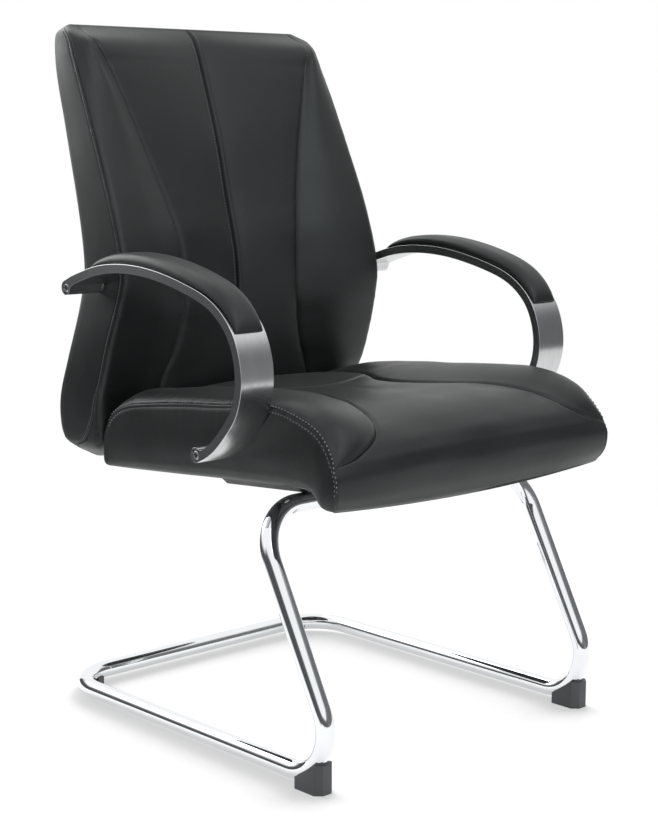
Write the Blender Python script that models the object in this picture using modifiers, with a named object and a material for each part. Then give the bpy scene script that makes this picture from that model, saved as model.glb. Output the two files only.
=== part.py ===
"""Visitor chair: leather seat and back on a bent chrome tube sled frame, with polished aluminium arms.

Metres, +Z up. The chair faces -Y and its floor contact is at z = 0. The floor frame is drawn round its
own centre. Everything above the tube is drawn from the middle of the crossbar, and the seat's boards and
steelwork are drawn on the seat's slope. The finished chair is then moved so that its box is centred.
"""
import math

import bmesh
import bpy
from mathutils import Matrix, Vector

for old_object in list(bpy.data.objects):
    bpy.data.objects.remove(old_object, do_unlink=True)

GAP = 0.0003
SOFT_GAP = 0.0005

# Bent tube frame
TUBE_RADIUS = 0.0125
FRAME_HALF_WIDTH = 0.250
FRAME_FRONT = -0.3058
FRAME_REAR = 0.3058
FLOOR_CLEARANCE = 0.0045
CROSSBAR_Y = -0.1334
CROSSBAR_HEIGHT = 0.3434
FLOOR_CORNER_RADIUS = 0.075
FRONT_BEND_RADIUS = 0.062
TOP_BEND_RADIUS = 0.070

# Plastic floor saddles
SADDLE_WALL = 0.0032
FRONT_FOOT_LENGTH = 0.045
FRONT_FOOT_NOSE = 0.0045
FRONT_FOOT_REAR_HEIGHT = 0.016
FRONT_FOOT_HEIGHT = 0.0385
FRONT_FOOT_LIP = 0.011
FOOT_CHAMFER = 0.006
REAR_FOOT_LENGTH = 0.032
REAR_FOOT_HEIGHT = 0.0135
REAR_FOOT_ANGLE = math.radians(29)

# Seat steelwork and boards, on the seat's slope
SEAT_PITCH = math.radians(4.2)
TRAY_HALF_WIDTH = 0.170
TRAY_FRONT = 0.022
TRAY_LENGTH = 0.176
TRAY_DEPTH = 0.0212
TRAY_SLANT = 0.012
TRAY_STEEL = 0.003
TRAY_RIM = 0.024
DUST_COVER_THICKNESS = 0.0012
PAN_THICKNESS = 0.012
PAN_HALF_WIDTH = 0.214
PAN_FRONT = 0.100
PAN_REAR = 0.315
PAN_CORNER = 0.035

# Seat cushion
SEAT_SIDE_CROWN = 0.0012
SEAT_UNDER_INSET = 0.009
SEAT_CHANNEL = 0.0035

# Back cushion
BACK_BOTTOM = 0.011
BACK_HEIGHT = 0.618
BACK_HALF_WIDTH = 0.254
BACK_SIDE_CROWN = 0.0015
BACK_REAR_CROWN = 0.008
BACK_CHANNEL = 0.0035
BACK_BOARD_THICKNESS = 0.012
BACK_BOARD_HALF_WIDTH = 0.203
BACK_BOARD_BOTTOM = 0.032
BACK_BOARD_TOP = 0.600

# Steel brackets from the seat board to the back board
BRACKET_X = 0.110
BRACKET_HALF_WIDTH = 0.020
BRACKET_STEEL = 0.005
BRACKET_REACH = 0.095
BRACKET_RISE = 0.175

# Aluminium arms
ARM_X = 0.27875
ARM_HALF_WIDTH = 0.02675
ARM_THICKNESS = 0.0120
ARM_EYE_RADIUS = 0.0100
ARM_STEPS = 80
UPPER_EYE = (0.3349, 0.2669)
LOWER_EYE = (0.0528, 0.0720)
PAD_START = 0.066
PAD_LENGTH = 0.312
PAD_HALF_WIDTH = 0.0248
PAD_CROWN_SHARE = 0.38
PAD_BASE_THICKNESS = 0.003
PAD_BASE_HALF_WIDTH = 0.017
PAD_BASE_INSET = 0.035

# Fasteners
ARM_BOLT_RADIUS = 0.0040
ARM_BOLT_HEAD_RADIUS = 0.0065
ARM_BOLT_HEAD = 0.0080
ARM_BOLT_SUNK = 0.0005
ARM_BOLT_REACH = 0.036
ARM_BOLT_KEY = 0.0035
ARM_SPACER_RADIUS = 0.0090
PLATE_BOLT_RADIUS = 0.0030
PLATE_BOLT_HEAD_RADIUS = 0.0060
PLATE_BOLT_HEAD = 0.0045
WOOD_SCREW_RADIUS = 0.0025
WOOD_SCREW_HEAD_RADIUS = 0.0050
WOOD_SCREW_HEAD = 0.0030
WOOD_SCREW_GRIP = 0.0080
ANCHOR_STEEL = 0.004
ANCHOR_HALF_LENGTH = 0.022
ANCHOR_FLANGE = 0.034
ANCHOR_OUTSET = 0.234
ANCHOR_EDGE = 0.014
WELD_NUT_RADIUS = 0.0075
WELD_NUT_LENGTH = 0.007


# Scene, materials and small modelling helpers
def new_collection(name):
    """Make a collection linked to the scene."""
    collection = bpy.data.collections.new(name)
    bpy.context.scene.collection.children.link(collection)
    return collection


parts = new_collection("visitor_chair")
cutters = new_collection("cutters")


def make_material(name, colour, roughness, metallic):
    """Make a plain Principled material."""
    material = bpy.data.materials.new(name)
    material.use_nodes = True
    shader = material.node_tree.nodes["Principled BSDF"]
    shader.inputs["Base Color"].default_value = (*colour, 1.0)
    shader.inputs["Roughness"].default_value = roughness
    shader.inputs["Metallic"].default_value = metallic
    return material


CHROME = ("chrome", (0.80, 0.81, 0.83), 0.06, 1.0)
ALUMINIUM = ("aluminium", (0.72, 0.72, 0.71), 0.20, 1.0)
LEATHER = ("leather", (0.022, 0.023, 0.024), 0.42, 0.0)
BLACK_STEEL = ("black_steel", (0.020, 0.020, 0.020), 0.45, 0.2)
ZINC_STEEL = ("zinc_steel", (0.55, 0.55, 0.53), 0.35, 1.0)
PLYWOOD = ("plywood", (0.52, 0.36, 0.20), 0.70, 0.0)
PLASTIC = ("plastic", (0.045, 0.047, 0.050), 0.55, 0.0)
LINING = ("lining", (0.015, 0.015, 0.015), 0.90, 0.0)


def make_empty(name, parent, location, pitch):
    """Add an empty that carries a group of parts."""
    empty = bpy.data.objects.new(name, None)
    parts.objects.link(empty)
    empty.parent = parent
    empty.location = location
    empty.rotation_euler = (pitch, 0.0, 0.0)
    return empty


chair = make_empty("chair", None, (0.0, 0.0, 0.0), 0.0)
upper = make_empty("upper", chair, (0.0, CROSSBAR_Y, CROSSBAR_HEIGHT), 0.0)
slope = make_empty("slope", upper, (0.0, 0.0, 0.0), -SEAT_PITCH)


def add_part(name, mesh, look, parent):
    """Put a mesh in the chair as one named piece with its own material."""
    mesh.materials.clear()
    mesh.materials.append(make_material(name + "_" + look[0], *look[1:]))
    part = bpy.data.objects.new(name, mesh)
    part.parent = parent
    parts.objects.link(part)
    return part


def add_cutter(name, mesh, parent):
    """Put a mesh among the cutters, which aren't pieces of the chair."""
    cutter = bpy.data.objects.new(name, mesh)
    cutter.parent = parent
    cutter.display_type = "WIRE"
    cutter.hide_render = True
    cutters.objects.link(cutter)
    return cutter


def combine(target, other, operation):
    """Cut a solid from a piece, or join one to it."""
    modifier = target.modifiers.new(operation.lower() + "_" + other.name, "BOOLEAN")
    modifier.operation = operation
    modifier.solver = "EXACT"
    modifier.object = other


def cut(target, *tools):
    """Cut every tool from a piece."""
    for tool in tools:
        combine(target, tool, "DIFFERENCE")


def box_mesh(name, low, high):
    """Make a box between two corners."""
    low = Vector(low)
    high = Vector(high)
    form = bmesh.new()
    bmesh.ops.create_cube(form, size=1.0)
    bmesh.ops.scale(form, vec=high - low, verts=form.verts)
    bmesh.ops.translate(form, vec=(low + high) / 2, verts=form.verts)
    return finished_mesh(name, form)


def finished_mesh(name, form):
    """Turn a bmesh into a mesh."""
    mesh = bpy.data.meshes.new(name)
    form.to_mesh(mesh)
    form.free()
    return mesh


def rod_mesh(name, start, end, radius, sides=20):
    """Make a cylinder between two points."""
    start = Vector(start)
    end = Vector(end)
    turn = (end - start).to_track_quat("Z", "Y").to_matrix().to_4x4()
    form = bmesh.new()
    bmesh.ops.create_cone(
        form, cap_ends=True, segments=sides, radius1=radius, radius2=radius,
        depth=(end - start).length, matrix=Matrix.Translation((start + end) / 2) @ turn)
    return finished_mesh(name, form)


def curve_mesh(name, curve):
    """Turn a curve into a closed mesh with welded caps."""
    holder = bpy.data.objects.new(name, curve)
    cutters.objects.link(holder)
    bpy.context.view_layer.update()
    shape = holder.evaluated_get(bpy.context.evaluated_depsgraph_get())
    mesh = bpy.data.meshes.new_from_object(shape)
    bpy.data.objects.remove(holder)
    form = bmesh.new()
    form.from_mesh(mesh)
    bmesh.ops.remove_doubles(form, verts=form.verts, dist=0.00001)
    bmesh.ops.recalc_face_normals(form, faces=form.faces)
    form.to_mesh(mesh)
    form.free()
    return mesh


def poly_spline(curve, points, cyclic):
    """Add a spline of straight pieces to a curve."""
    spline = curve.splines.new("POLY")
    spline.points.add(len(points) - 1)
    for control, point in zip(spline.points, points):
        control.co = (*point, 1.0)
    spline.use_cyclic_u = cyclic


def tube_mesh(name, points, radius, cyclic=False, resolution=6):
    """Make a round tube along points."""
    curve = bpy.data.curves.new(name, "CURVE")
    curve.dimensions = "3D"
    curve.bevel_depth = radius
    curve.bevel_resolution = resolution
    curve.use_fill_caps = not cyclic
    poly_spline(curve, points, cyclic)
    return curve_mesh(name, curve)


def side_outline_mesh(name, outline, half_width, centre_x):
    """Extrude a side-view outline of (y, z) points across the chair."""
    curve = bpy.data.curves.new(name, "CURVE")
    curve.dimensions = "2D"
    curve.fill_mode = "BOTH"
    curve.extrude = half_width
    poly_spline(curve, [(y, z, 0.0) for y, z in outline], True)
    mesh = curve_mesh(name, curve)
    mesh.transform(Matrix(((0, 0, 1, centre_x), (1, 0, 0, 0), (0, 1, 0, 0), (0, 0, 0, 1))))
    return mesh


def through(points):
    """Give a smooth function through (position, value) points, level past both ends."""
    places = [point[0] for point in points]
    values = [point[1] for point in points]
    slopes = []
    for index in range(len(points)):
        before = max(index - 1, 0)
        after = min(index + 1, len(points) - 1)
        slopes.append((values[after] - values[before]) / (places[after] - places[before]))

    def value_at(place):
        place = min(max(place, places[0]), places[-1])
        index = 0
        while index < len(places) - 2 and place > places[index + 1]:
            index += 1
        span = places[index + 1] - places[index]
        share = (place - places[index]) / span
        rest = 1.0 - share
        return (values[index] * rest * rest * (1 + 2 * share)
                + values[index + 1] * share * share * (3 - 2 * share)
                + span * share * rest * (slopes[index] * rest - slopes[index + 1] * share))

    return value_at


def loft_mesh(name, rings, front_count):
    """Skin rings that hold a front row, side points, a rear row that runs back, and side points."""
    form = bmesh.new()
    loops = [[form.verts.new(point) for point in ring] for ring in rings]
    count = len(loops[0])
    side_count = count // 2 - front_count
    for loop, following in zip(loops, loops[1:]):
        for index in range(count):
            after = (index + 1) % count
            form.faces.new((loop[index], loop[after], following[after], following[index]))
    for loop in (loops[0], loops[-1]):
        rear = [loop[count - 1 - side_count - index] for index in range(front_count)]
        for index in range(front_count - 1):
            form.faces.new((loop[index], loop[index + 1], rear[index + 1], rear[index]))
        if side_count:
            form.faces.new(loop[front_count - 1:front_count + side_count + 1])
            form.faces.new([loop[0]] + loop[:count - side_count - 2:-1])
    bmesh.ops.recalc_face_normals(form, faces=form.faces)
    return finished_mesh(name, form)


def turned_part(name, profile, look, parent, seat, direction):
    """Turn a (radius, height) profile round an axis that stands at a seat point."""
    mesh = bpy.data.meshes.new(name)
    edges = [(index, index + 1) for index in range(len(profile) - 1)]
    mesh.from_pydata([(radius, 0.0, height) for radius, height in profile], edges, [])
    part = add_part(name, mesh, look, parent)
    part.location = seat
    part.rotation_mode = "QUATERNION"
    part.rotation_quaternion = Vector(direction).to_track_quat("Z", "Y")
    screw = part.modifiers.new("turn", "SCREW")
    screw.axis = "Z"
    screw.angle = math.tau
    screw.steps = 20
    screw.render_steps = 20
    screw.use_merge_vertices = True
    screw.merge_threshold = 0.0001
    return part


def fastener_profile(head_radius, head, radius, grip):
    """Give a headed fastener's profile, with its underhead at height zero."""
    ease = head * 0.2
    return [
        (0.0, head), (head_radius - ease, head), (head_radius, head - ease), (head_radius, 0.0),
        (radius, 0.0), (radius, -grip + ease), (radius - ease, -grip), (0.0, -grip)]


# Tube frame: one bent tube, its ends joined in the crossbar
RAIL_HEIGHT = FLOOR_CLEARANCE + TUBE_RADIUS
BEND_STEPS = 9


def bend_points(before, corner, after, radius, steps=BEND_STEPS):
    """Give the arc that rounds a corner between two straight runs."""
    back = (before - corner).normalized()
    on = (after - corner).normalized()
    half = math.acos(back.dot(on)) / 2
    centre = corner + (back + on).normalized() * radius / math.sin(half)
    start = corner + back * radius / math.tan(half) - centre
    end = corner + on * radius / math.tan(half) - centre
    sweep = start.angle(end)
    return [
        centre + (start * math.sin((1 - step / steps) * sweep) + end * math.sin(step / steps * sweep))
        / math.sin(sweep) for step in range(steps + 1)]


def frame_corners(side):
    """Give one side's corners from the crossbar to the rear bar, side being -1 or 1."""
    x = side * FRAME_HALF_WIDTH
    return [
        Vector((x, CROSSBAR_Y, CROSSBAR_HEIGHT)),
        Vector((x, FRAME_FRONT, RAIL_HEIGHT)),
        Vector((x, FRAME_REAR, RAIL_HEIGHT))]


def frame_path():
    """Give the tube's centre line, once round the frame."""
    left = frame_corners(-1)
    right = frame_corners(1)
    corners = left + right[::-1]
    radii = [TOP_BEND_RADIUS, FRONT_BEND_RADIUS, FLOOR_CORNER_RADIUS]
    radii = radii + radii[::-1]
    path = []
    for index, corner in enumerate(corners):
        before = corners[index - 1]
        after = corners[(index + 1) % len(corners)]
        path += bend_points(before, corner, after, radii[index])
    return path


add_part("frame_tube", tube_mesh("frame_tube", frame_path(), TUBE_RADIUS, cyclic=True), CHROME, chair)


# Floor saddles: moulded blocks that clip round the tube at its four corners
leg_rise = (CROSSBAR_HEIGHT - RAIL_HEIGHT) / (CROSSBAR_Y - FRAME_FRONT)
front_bend_reach = FRONT_BEND_RADIUS / math.tan(math.atan(leg_rise) / 2)
front_bend_y = FRAME_FRONT + front_bend_reach
foot_front = front_bend_y - FRONT_BEND_RADIUS - FRONT_FOOT_NOSE
foot_rear = foot_front + FRONT_FOOT_LENGTH
foot_half_width = TUBE_RADIUS + SADDLE_WALL

for side, side_name in ((-1, "right"), (1, "left")):
    corners = frame_corners(side)
    bend = bend_points(*corners, FRONT_BEND_RADIUS)
    tunnel = add_cutter(
        "front_tunnel_" + side_name,
        tube_mesh("front_tunnel", [corners[0]] + bend + [corners[2]], TUBE_RADIUS + GAP), chair)
    profile = [
        (foot_rear, 0.0), (foot_rear, FRONT_FOOT_REAR_HEIGHT),
        (foot_front + FRONT_FOOT_LIP, FRONT_FOOT_HEIGHT), (foot_front, FRONT_FOOT_HEIGHT),
        (foot_front, 0.0)]
    foot = add_part(
        "front_foot_" + side_name,
        side_outline_mesh("front_foot", profile, foot_half_width, side * FRAME_HALF_WIDTH),
        PLASTIC, chair)
    for edge in (-1, 1):
        corner_x = side * FRAME_HALF_WIDTH + edge * foot_half_width
        chamfer = box_mesh(
            "foot_chamfer", (-FOOT_CHAMFER, -FOOT_CHAMFER, -FRONT_FOOT_HEIGHT),
            (FOOT_CHAMFER, FOOT_CHAMFER, FRONT_FOOT_HEIGHT * 2))
        chamfer.transform(Matrix.Rotation(math.radians(45), 4, "Z"))
        chamfer.transform(Matrix.Translation((corner_x, foot_front, 0.0)))
        cut(foot, add_cutter("foot_chamfer_" + side_name, chamfer, chair))
    cut(foot, tunnel)

    corner_centre = Vector((
        side * (FRAME_HALF_WIDTH - FLOOR_CORNER_RADIUS), FRAME_REAR - FLOOR_CORNER_RADIUS, 0.0))
    outward = Vector((side * math.sin(REAR_FOOT_ANGLE), math.cos(REAR_FOOT_ANGLE), 0.0))
    rear_place = corner_centre + outward * FLOOR_CORNER_RADIUS
    half_length = REAR_FOOT_LENGTH / 2
    block = box_mesh(
        "rear_foot", (-half_length, -foot_half_width - SADDLE_WALL / 4, 0.0),
        (half_length, foot_half_width + SADDLE_WALL / 4, REAR_FOOT_HEIGHT))
    block.transform(Matrix.Rotation(-side * REAR_FOOT_ANGLE, 4, "Z"))
    block.transform(Matrix.Translation(rear_place))
    rear_foot = add_part("rear_foot_" + side_name, block, PLASTIC, chair)
    rear_end = Vector((-side * FRAME_HALF_WIDTH, FRAME_REAR, RAIL_HEIGHT))
    rear_bend = bend_points(corners[1], corners[2], rear_end, FLOOR_CORNER_RADIUS)
    rear_run = [rear_bend[0].lerp(corners[1], 0.1)] + rear_bend + [rear_bend[-1].lerp(rear_end, 0.1)]
    cut(rear_foot, add_cutter(
        "rear_tunnel_" + side_name, tube_mesh("rear_tunnel", rear_run, TUBE_RADIUS + GAP), chair))


# Heights on the seat's slope, each piece lying on the one below it
web_low = TUBE_RADIUS + GAP
rim_high = web_low + TRAY_DEPTH
dust_low = rim_high + GAP
dust_high = dust_low + DUST_COVER_THICKNESS
pan_low = dust_high + GAP
pan_high = pan_low + PAN_THICKNESS
tray_rear = TRAY_LENGTH - TRAY_FRONT


def on_slope(y, z):
    """Turn a point beside the crossbar into the seat slope's own (along, up)."""
    along = y * math.cos(SEAT_PITCH) - z * math.sin(SEAT_PITCH)
    up = y * math.sin(SEAT_PITCH) + z * math.cos(SEAT_PITCH)
    return along, up


def off_slope(along, up):
    """Turn a point on the seat's slope into (y, z) beside the crossbar."""
    y = along * math.cos(SEAT_PITCH) + up * math.sin(SEAT_PITCH)
    z = up * math.cos(SEAT_PITCH) - along * math.sin(SEAT_PITCH)
    return y, z


# Mounting tray: pressed steel, welded to the crossbar, its rim bolted up into the seat board
def tray_ring(inset, up):
    """Give the tray's rounded-off rectangle at a height, inset from its open top."""
    half = TRAY_HALF_WIDTH + TRAY_SLANT - inset
    front = -TRAY_FRONT - TRAY_SLANT + inset
    rear = tray_rear + TRAY_SLANT - inset
    return [(-half, front, up), (half, front, up), (half, rear, up), (-half, rear, up)]


def tray_mesh():
    """Make the tray as a floor, four slanted walls and a level rim."""
    form = bmesh.new()
    inner = TRAY_STEEL
    levels = [
        tray_ring(TRAY_SLANT, web_low), tray_ring(0.0, rim_high - inner),
        tray_ring(-TRAY_RIM, rim_high - inner), tray_ring(-TRAY_RIM, rim_high),
        tray_ring(inner * 0.5, rim_high), tray_ring(TRAY_SLANT + inner * 0.5, web_low + inner)]
    loops = [[form.verts.new(point) for point in level] for level in levels]
    for loop, following in zip(loops, loops[1:]):
        for index in range(4):
            after = (index + 1) % 4
            form.faces.new((loop[index], loop[after], following[after], following[index]))
    form.faces.new(loops[0])
    form.faces.new(loops[-1])
    bmesh.ops.recalc_face_normals(form, faces=form.faces)
    return finished_mesh("seat_tray", form)


tray = add_part("seat_tray", tray_mesh(), BLACK_STEEL, slope)


# Seat board with its lining, both inside the cushion's turned-under edge
def board_outline_mesh(name, low, high, half_width, front, rear, corner):
    """Make a flat board with cut corners, level on the seat's slope."""
    form = bmesh.new()
    outline = [
        (half_width, rear - corner), (half_width - corner, rear), (corner - half_width, rear),
        (-half_width, rear - corner), (-half_width, corner - front), (corner - half_width, -front),
        (half_width - corner, -front), (half_width, corner - front)]
    lower = [form.verts.new((x, y, low)) for x, y in outline]
    face = form.faces.new(lower)
    grown = bmesh.ops.extrude_face_region(form, geom=[face])
    raised = [item for item in grown["geom"] if isinstance(item, bmesh.types.BMVert)]
    bmesh.ops.translate(form, vec=(0.0, 0.0, high - low), verts=raised)
    bmesh.ops.recalc_face_normals(form, faces=form.faces)
    return finished_mesh(name, form)


seat_pan = add_part(
    "seat_pan",
    board_outline_mesh("seat_pan", pan_low, pan_high, PAN_HALF_WIDTH, PAN_FRONT, PAN_REAR, PAN_CORNER),
    PLYWOOD, slope)
dust_cover = add_part(
    "seat_dust_cover",
    board_outline_mesh("seat_dust_cover", dust_low, dust_high, PAN_HALF_WIDTH, PAN_FRONT, PAN_REAR,
                       PAN_CORNER), LINING, slope)
pan_pocket = add_cutter(
    "pan_pocket",
    board_outline_mesh("pan_pocket", -TRAY_DEPTH, pan_high + SOFT_GAP, PAN_HALF_WIDTH + SOFT_GAP,
                       PAN_FRONT + SOFT_GAP, PAN_REAR + SOFT_GAP, PAN_CORNER), slope)

bolt_x = TRAY_HALF_WIDTH + TRAY_SLANT + TRAY_RIM / 2
bolt_inset = TRAY_RIM / 2
plate_bolt_grip = TRAY_STEEL + DUST_COVER_THICKNESS + PAN_THICKNESS * 0.75
for end_name, bolt_y in (("front", -TRAY_FRONT + bolt_inset), ("rear", tray_rear - bolt_inset)):
    for side, side_name in ((-1, "right"), (1, "left")):
        under = Vector((side * bolt_x, bolt_y, rim_high - TRAY_STEEL - GAP))
        tip = Vector((0.0, 0.0, plate_bolt_grip + GAP * 4))
        hole = add_cutter(
            "plate_bolt_hole_" + end_name + "_" + side_name,
            rod_mesh("plate_bolt_hole", under, under + tip, PLATE_BOLT_RADIUS + GAP), slope)
        cut(tray, hole)
        cut(dust_cover, hole)
        cut(seat_pan, hole)
        turned_part(
            "plate_bolt_" + end_name + "_" + side_name,
            fastener_profile(PLATE_BOLT_HEAD_RADIUS, PLATE_BOLT_HEAD, PLATE_BOLT_RADIUS, plate_bolt_grip),
            ZINC_STEEL, slope, under, (0.0, 0.0, -1.0))


# Seat cushion: stations run from its rear foot, over the top and round the nose to the lip.
# Each station holds the side seam's (x, y, z), the middle's (y, z), the bolster's rise above the side
# seam, the bolster seam's distance from the middle, how far forward the underside lies, and how far
# the lip hangs below the seat board there.
SEAT_STATIONS = [
    (0.246, 0.337, 0.023, 0.322, 0.023, 0.0000, 0.110, 0.330, 0.0),
    (0.247, 0.335, 0.048, 0.328, 0.055, 0.0020, 0.118, 0.322, 0.0),
    (0.248, 0.325, 0.072, 0.326, 0.088, 0.0040, 0.126, 0.308, 0.0),
    (0.249, 0.304, 0.093, 0.314, 0.109, 0.0080, 0.132, 0.286, 0.0),
    (0.250, 0.272, 0.106, 0.285, 0.118, 0.0110, 0.136, 0.256, 0.0),
    (0.250, 0.222, 0.114, 0.225, 0.121, 0.0120, 0.134, 0.212, 0.0),
    (0.250, 0.172, 0.1205, 0.173, 0.123, 0.0120, 0.114, 0.166, 0.0),
    (0.249, 0.130, 0.125, 0.130, 0.124, 0.0120, 0.088, 0.128, 0.0),
    (0.248, 0.088, 0.1285, 0.088, 0.1255, 0.0120, 0.080, 0.088, 0.0),
    (0.248, 0.040, 0.1335, 0.040, 0.1270, 0.0120, 0.090, 0.044, 0.0),
    (0.2490, -0.010, 0.1375, -0.008, 0.1285, 0.0110, 0.112, -0.004, 0.0),
    (0.2505, -0.048, 0.1372, -0.048, 0.1300, 0.0120, 0.131, -0.044, 0.0),
    (0.2520, -0.088, 0.1290, -0.092, 0.1285, 0.0135, 0.148, -0.080, 0.0),
    (0.2535, -0.120, 0.1180, -0.130, 0.1205, 0.0120, 0.164, -0.104, 0.004),
    (0.2550, -0.139, 0.1020, -0.154, 0.1060, 0.0085, 0.186, -0.114, 0.010),
    (0.2575, -0.153, 0.0840, -0.167, 0.0870, 0.0055, 0.213, -0.122, 0.015),
    (0.2590, -0.1625, 0.0630, -0.1720, 0.0650, 0.0030, 0.234, -0.130, 0.020),
    (0.2565, -0.1605, 0.0400, -0.1690, 0.0400, 0.0010, 0.238, -0.138, 0.0235),
    (0.2500, -0.1510, 0.0245, -0.1580, 0.0180, 0.0000, 0.232, -0.146, 0.0255)]
SEAT_CROSS_SEAM = 7
SEAT_NOSE_START = -0.092
SEAT_LIP_SAG = 0.0070


def seat_across(half, seam):
    """Give the top row's places across the seat, from the middle out, with a role for each."""
    band = half - seam
    foot = min(0.012, band * 0.25)
    return [
        (0.0, "middle"), (seam * 0.45, "middle"), (seam - foot * 1.5, "middle"), (seam, "seam"),
        (seam + foot, "bolster_foot"), (seam + band * 0.45, "bolster"),
        (seam + band * 0.72, "bolster"), (half - min(0.009, band * 0.14), "bolster_edge"), (half, "side")]


def seat_ring(index):
    """Give one closed ring of the seat cushion."""
    half, side_y, side_z, mid_y, mid_z, rise, seam, under_y, drop = SEAT_STATIONS[index]
    lip = drop / SEAT_STATIONS[-1][8]
    squareness = 2.0 + 4.0 * min(1.0, max(0.0, (SEAT_NOSE_START - mid_y) / 0.05))
    under_z = (dust_low - under_y * math.sin(SEAT_PITCH)) / math.cos(SEAT_PITCH) - drop
    half_row = []
    for x, role in seat_across(half, seam):
        y = mid_y + (side_y - mid_y) * (x / half) ** squareness
        z = mid_z + (side_z - mid_z) * (x / half) ** 2
        share = (half - x) / (half - seam)
        if role == "seam":
            z -= SEAT_CHANNEL
        elif role == "bolster_foot":
            z += rise * 0.25
        elif role == "bolster":
            z += rise * (1.35 - share * 0.75)
        elif role == "bolster_edge":
            z += rise * 0.62
        if index == SEAT_CROSS_SEAM and role == "middle":
            z -= SEAT_CHANNEL * 0.6
        half_row.append((x, y, z))
    side_mid = (half + SEAT_SIDE_CROWN, (side_y + under_y) / 2, (side_z + under_z) / 2)
    half_under = []
    for x, _y, _z in half_row:
        sag = SEAT_LIP_SAG * lip * (1 - (x / half) ** 2)
        half_under.append((x * (half - SEAT_UNDER_INSET) / half, under_y - sag, under_z - sag))
    top = mirrored_row(half_row)
    under = mirrored_row(half_under)
    return top + [side_mid] + under[::-1] + [(-side_mid[0], side_mid[1], side_mid[2])]


def mirrored_row(half_row):
    """Give a whole row, from -x to +x, of a half row that starts in the middle."""
    return [(-x, y, z) for x, y, z in half_row[:0:-1]] + half_row


seat_rings = [seat_ring(index) for index in range(len(SEAT_STATIONS))]
seat_row = 2 * len(seat_across(0.25, 0.11)) - 1
seat_cushion = add_part("seat_cushion", loft_mesh("seat_cushion", seat_rings, seat_row), LEATHER, upper)
cut(seat_cushion, pan_pocket)


# Back cushion: each list is one line of the back, by height above the cushion's foot
def back_line(points):
    """Give a line of the back as a function of the height above the crossbar."""
    return through([(BACK_BOTTOM + share * BACK_HEIGHT, value) for share, value in points])


back_narrowing = back_line([
    (0.000, 0.022), (0.030, 0.010), (0.100, 0.003), (0.185, 0.000), (0.285, 0.001), (0.380, 0.007),
    (0.450, 0.0122), (0.600, 0.0145), (0.750, 0.0175), (0.860, 0.020), (0.940, 0.023), (0.985, 0.029),
    (1.000, 0.042)])
back_middle_front = back_line([
    (0.000, 0.376), (0.012, 0.353), (0.040, 0.342), (0.090, 0.339), (0.150, 0.335), (0.200, 0.3305),
    (0.290, 0.3305), (0.375, 0.3335), (0.475, 0.3385), (0.600, 0.3580), (0.740, 0.3795), (0.870, 0.4060),
    (0.955, 0.4250), (0.985, 0.4340), (1.000, 0.4460)])
back_side_front = back_line([
    (0.000, 0.382), (0.012, 0.359), (0.040, 0.347), (0.090, 0.344), (0.150, 0.340), (0.190, 0.3290),
    (0.285, 0.3090), (0.380, 0.2905), (0.430, 0.2865), (0.500, 0.2950), (0.600, 0.3160), (0.710, 0.3450),
    (0.840, 0.3815), (0.930, 0.4100), (0.985, 0.4290), (1.000, 0.4440)])
back_seam_front = back_line([
    (0.000, 0.380), (0.012, 0.357), (0.040, 0.346), (0.090, 0.343), (0.190, 0.3375), (0.235, 0.3325),
    (0.300, 0.3265), (0.360, 0.3215), (0.465, 0.3245), (0.520, 0.3285), (0.590, 0.3405), (0.705, 0.3595),
    (0.820, 0.3765), (0.915, 0.3915), (0.965, 0.4030), (1.000, 0.4440)])
back_seam_x = back_line([
    (0.000, 0.170), (0.190, 0.137), (0.235, 0.124), (0.300, 0.113), (0.360, 0.107), (0.465, 0.109),
    (0.520, 0.113), (0.590, 0.123), (0.705, 0.144), (0.820, 0.167), (0.915, 0.188), (0.965, 0.202),
    (1.000, 0.198)])
back_side_rear = back_line([
    (0.000, 0.420), (0.012, 0.432), (0.040, 0.446), (0.090, 0.4505), (0.145, 0.4455), (0.230, 0.4245),
    (0.315, 0.4050), (0.390, 0.3940), (0.445, 0.3930), (0.540, 0.4015), (0.660, 0.4190), (0.780, 0.4400),
    (0.900, 0.4600), (0.960, 0.4660), (0.985, 0.4650), (1.000, 0.4560)])
back_rear_round = back_line([
    (0.000, 0.020), (0.090, 0.024), (0.500, 0.022), (0.780, 0.017), (0.900, 0.013), (1.000, 0.010)])
BACK_LEVELS = [
    0.0, 0.012, 0.032, 0.065, 0.11, 0.16, 0.205, 0.25, 0.30, 0.35, 0.40, 0.45, 0.505, 0.56, 0.62, 0.68,
    0.74, 0.80, 0.855, 0.905, 0.945, 0.972, 0.990, 1.0]
BOLSTER_RISE = 0.008
PANEL_RISE = 0.003


def back_edge_ease(share):
    """Give how much of the crown stands at a height, fading to nothing at foot and top."""
    return min(1.0, share / 0.10, (1.0 - share) / 0.07)


def back_front_half(height):
    """Give the front row of the back from the middle out, at a height."""
    share = (height - BACK_BOTTOM) / BACK_HEIGHT
    ease = back_edge_ease(share)
    half = BACK_HALF_WIDTH - back_narrowing(height)
    seam = back_seam_x(height)
    middle = back_middle_front(height)
    seam_y = back_seam_front(height)
    side_y = back_side_front(height)
    band = half - seam
    row = [(0.0, middle + BACK_CHANNEL * ease)]
    for part in (0.12, 0.55, 0.88):
        row.append((seam * part, middle + (seam_y - middle) * part - PANEL_RISE * ease))
    row.append((seam, seam_y + BACK_CHANNEL * ease))
    pinch = min(0.010, band * 0.2)
    row.append((seam + pinch, seam_y + (side_y - seam_y) * 0.06 - BOLSTER_RISE * 0.3 * ease))
    for part, rise in ((0.40, 1.0), (0.70, 0.95)):
        x = seam + band * part
        row.append((x, seam_y + (side_y - seam_y) * part - BOLSTER_RISE * rise * ease))
    edge = min(0.008, band * 0.15)
    row.append((half - edge, side_y + (seam_y - side_y) * 0.04 - BOLSTER_RISE * 0.55 * ease))
    row.append((half, side_y))
    return [(x, y, height) for x, y in row]


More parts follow.
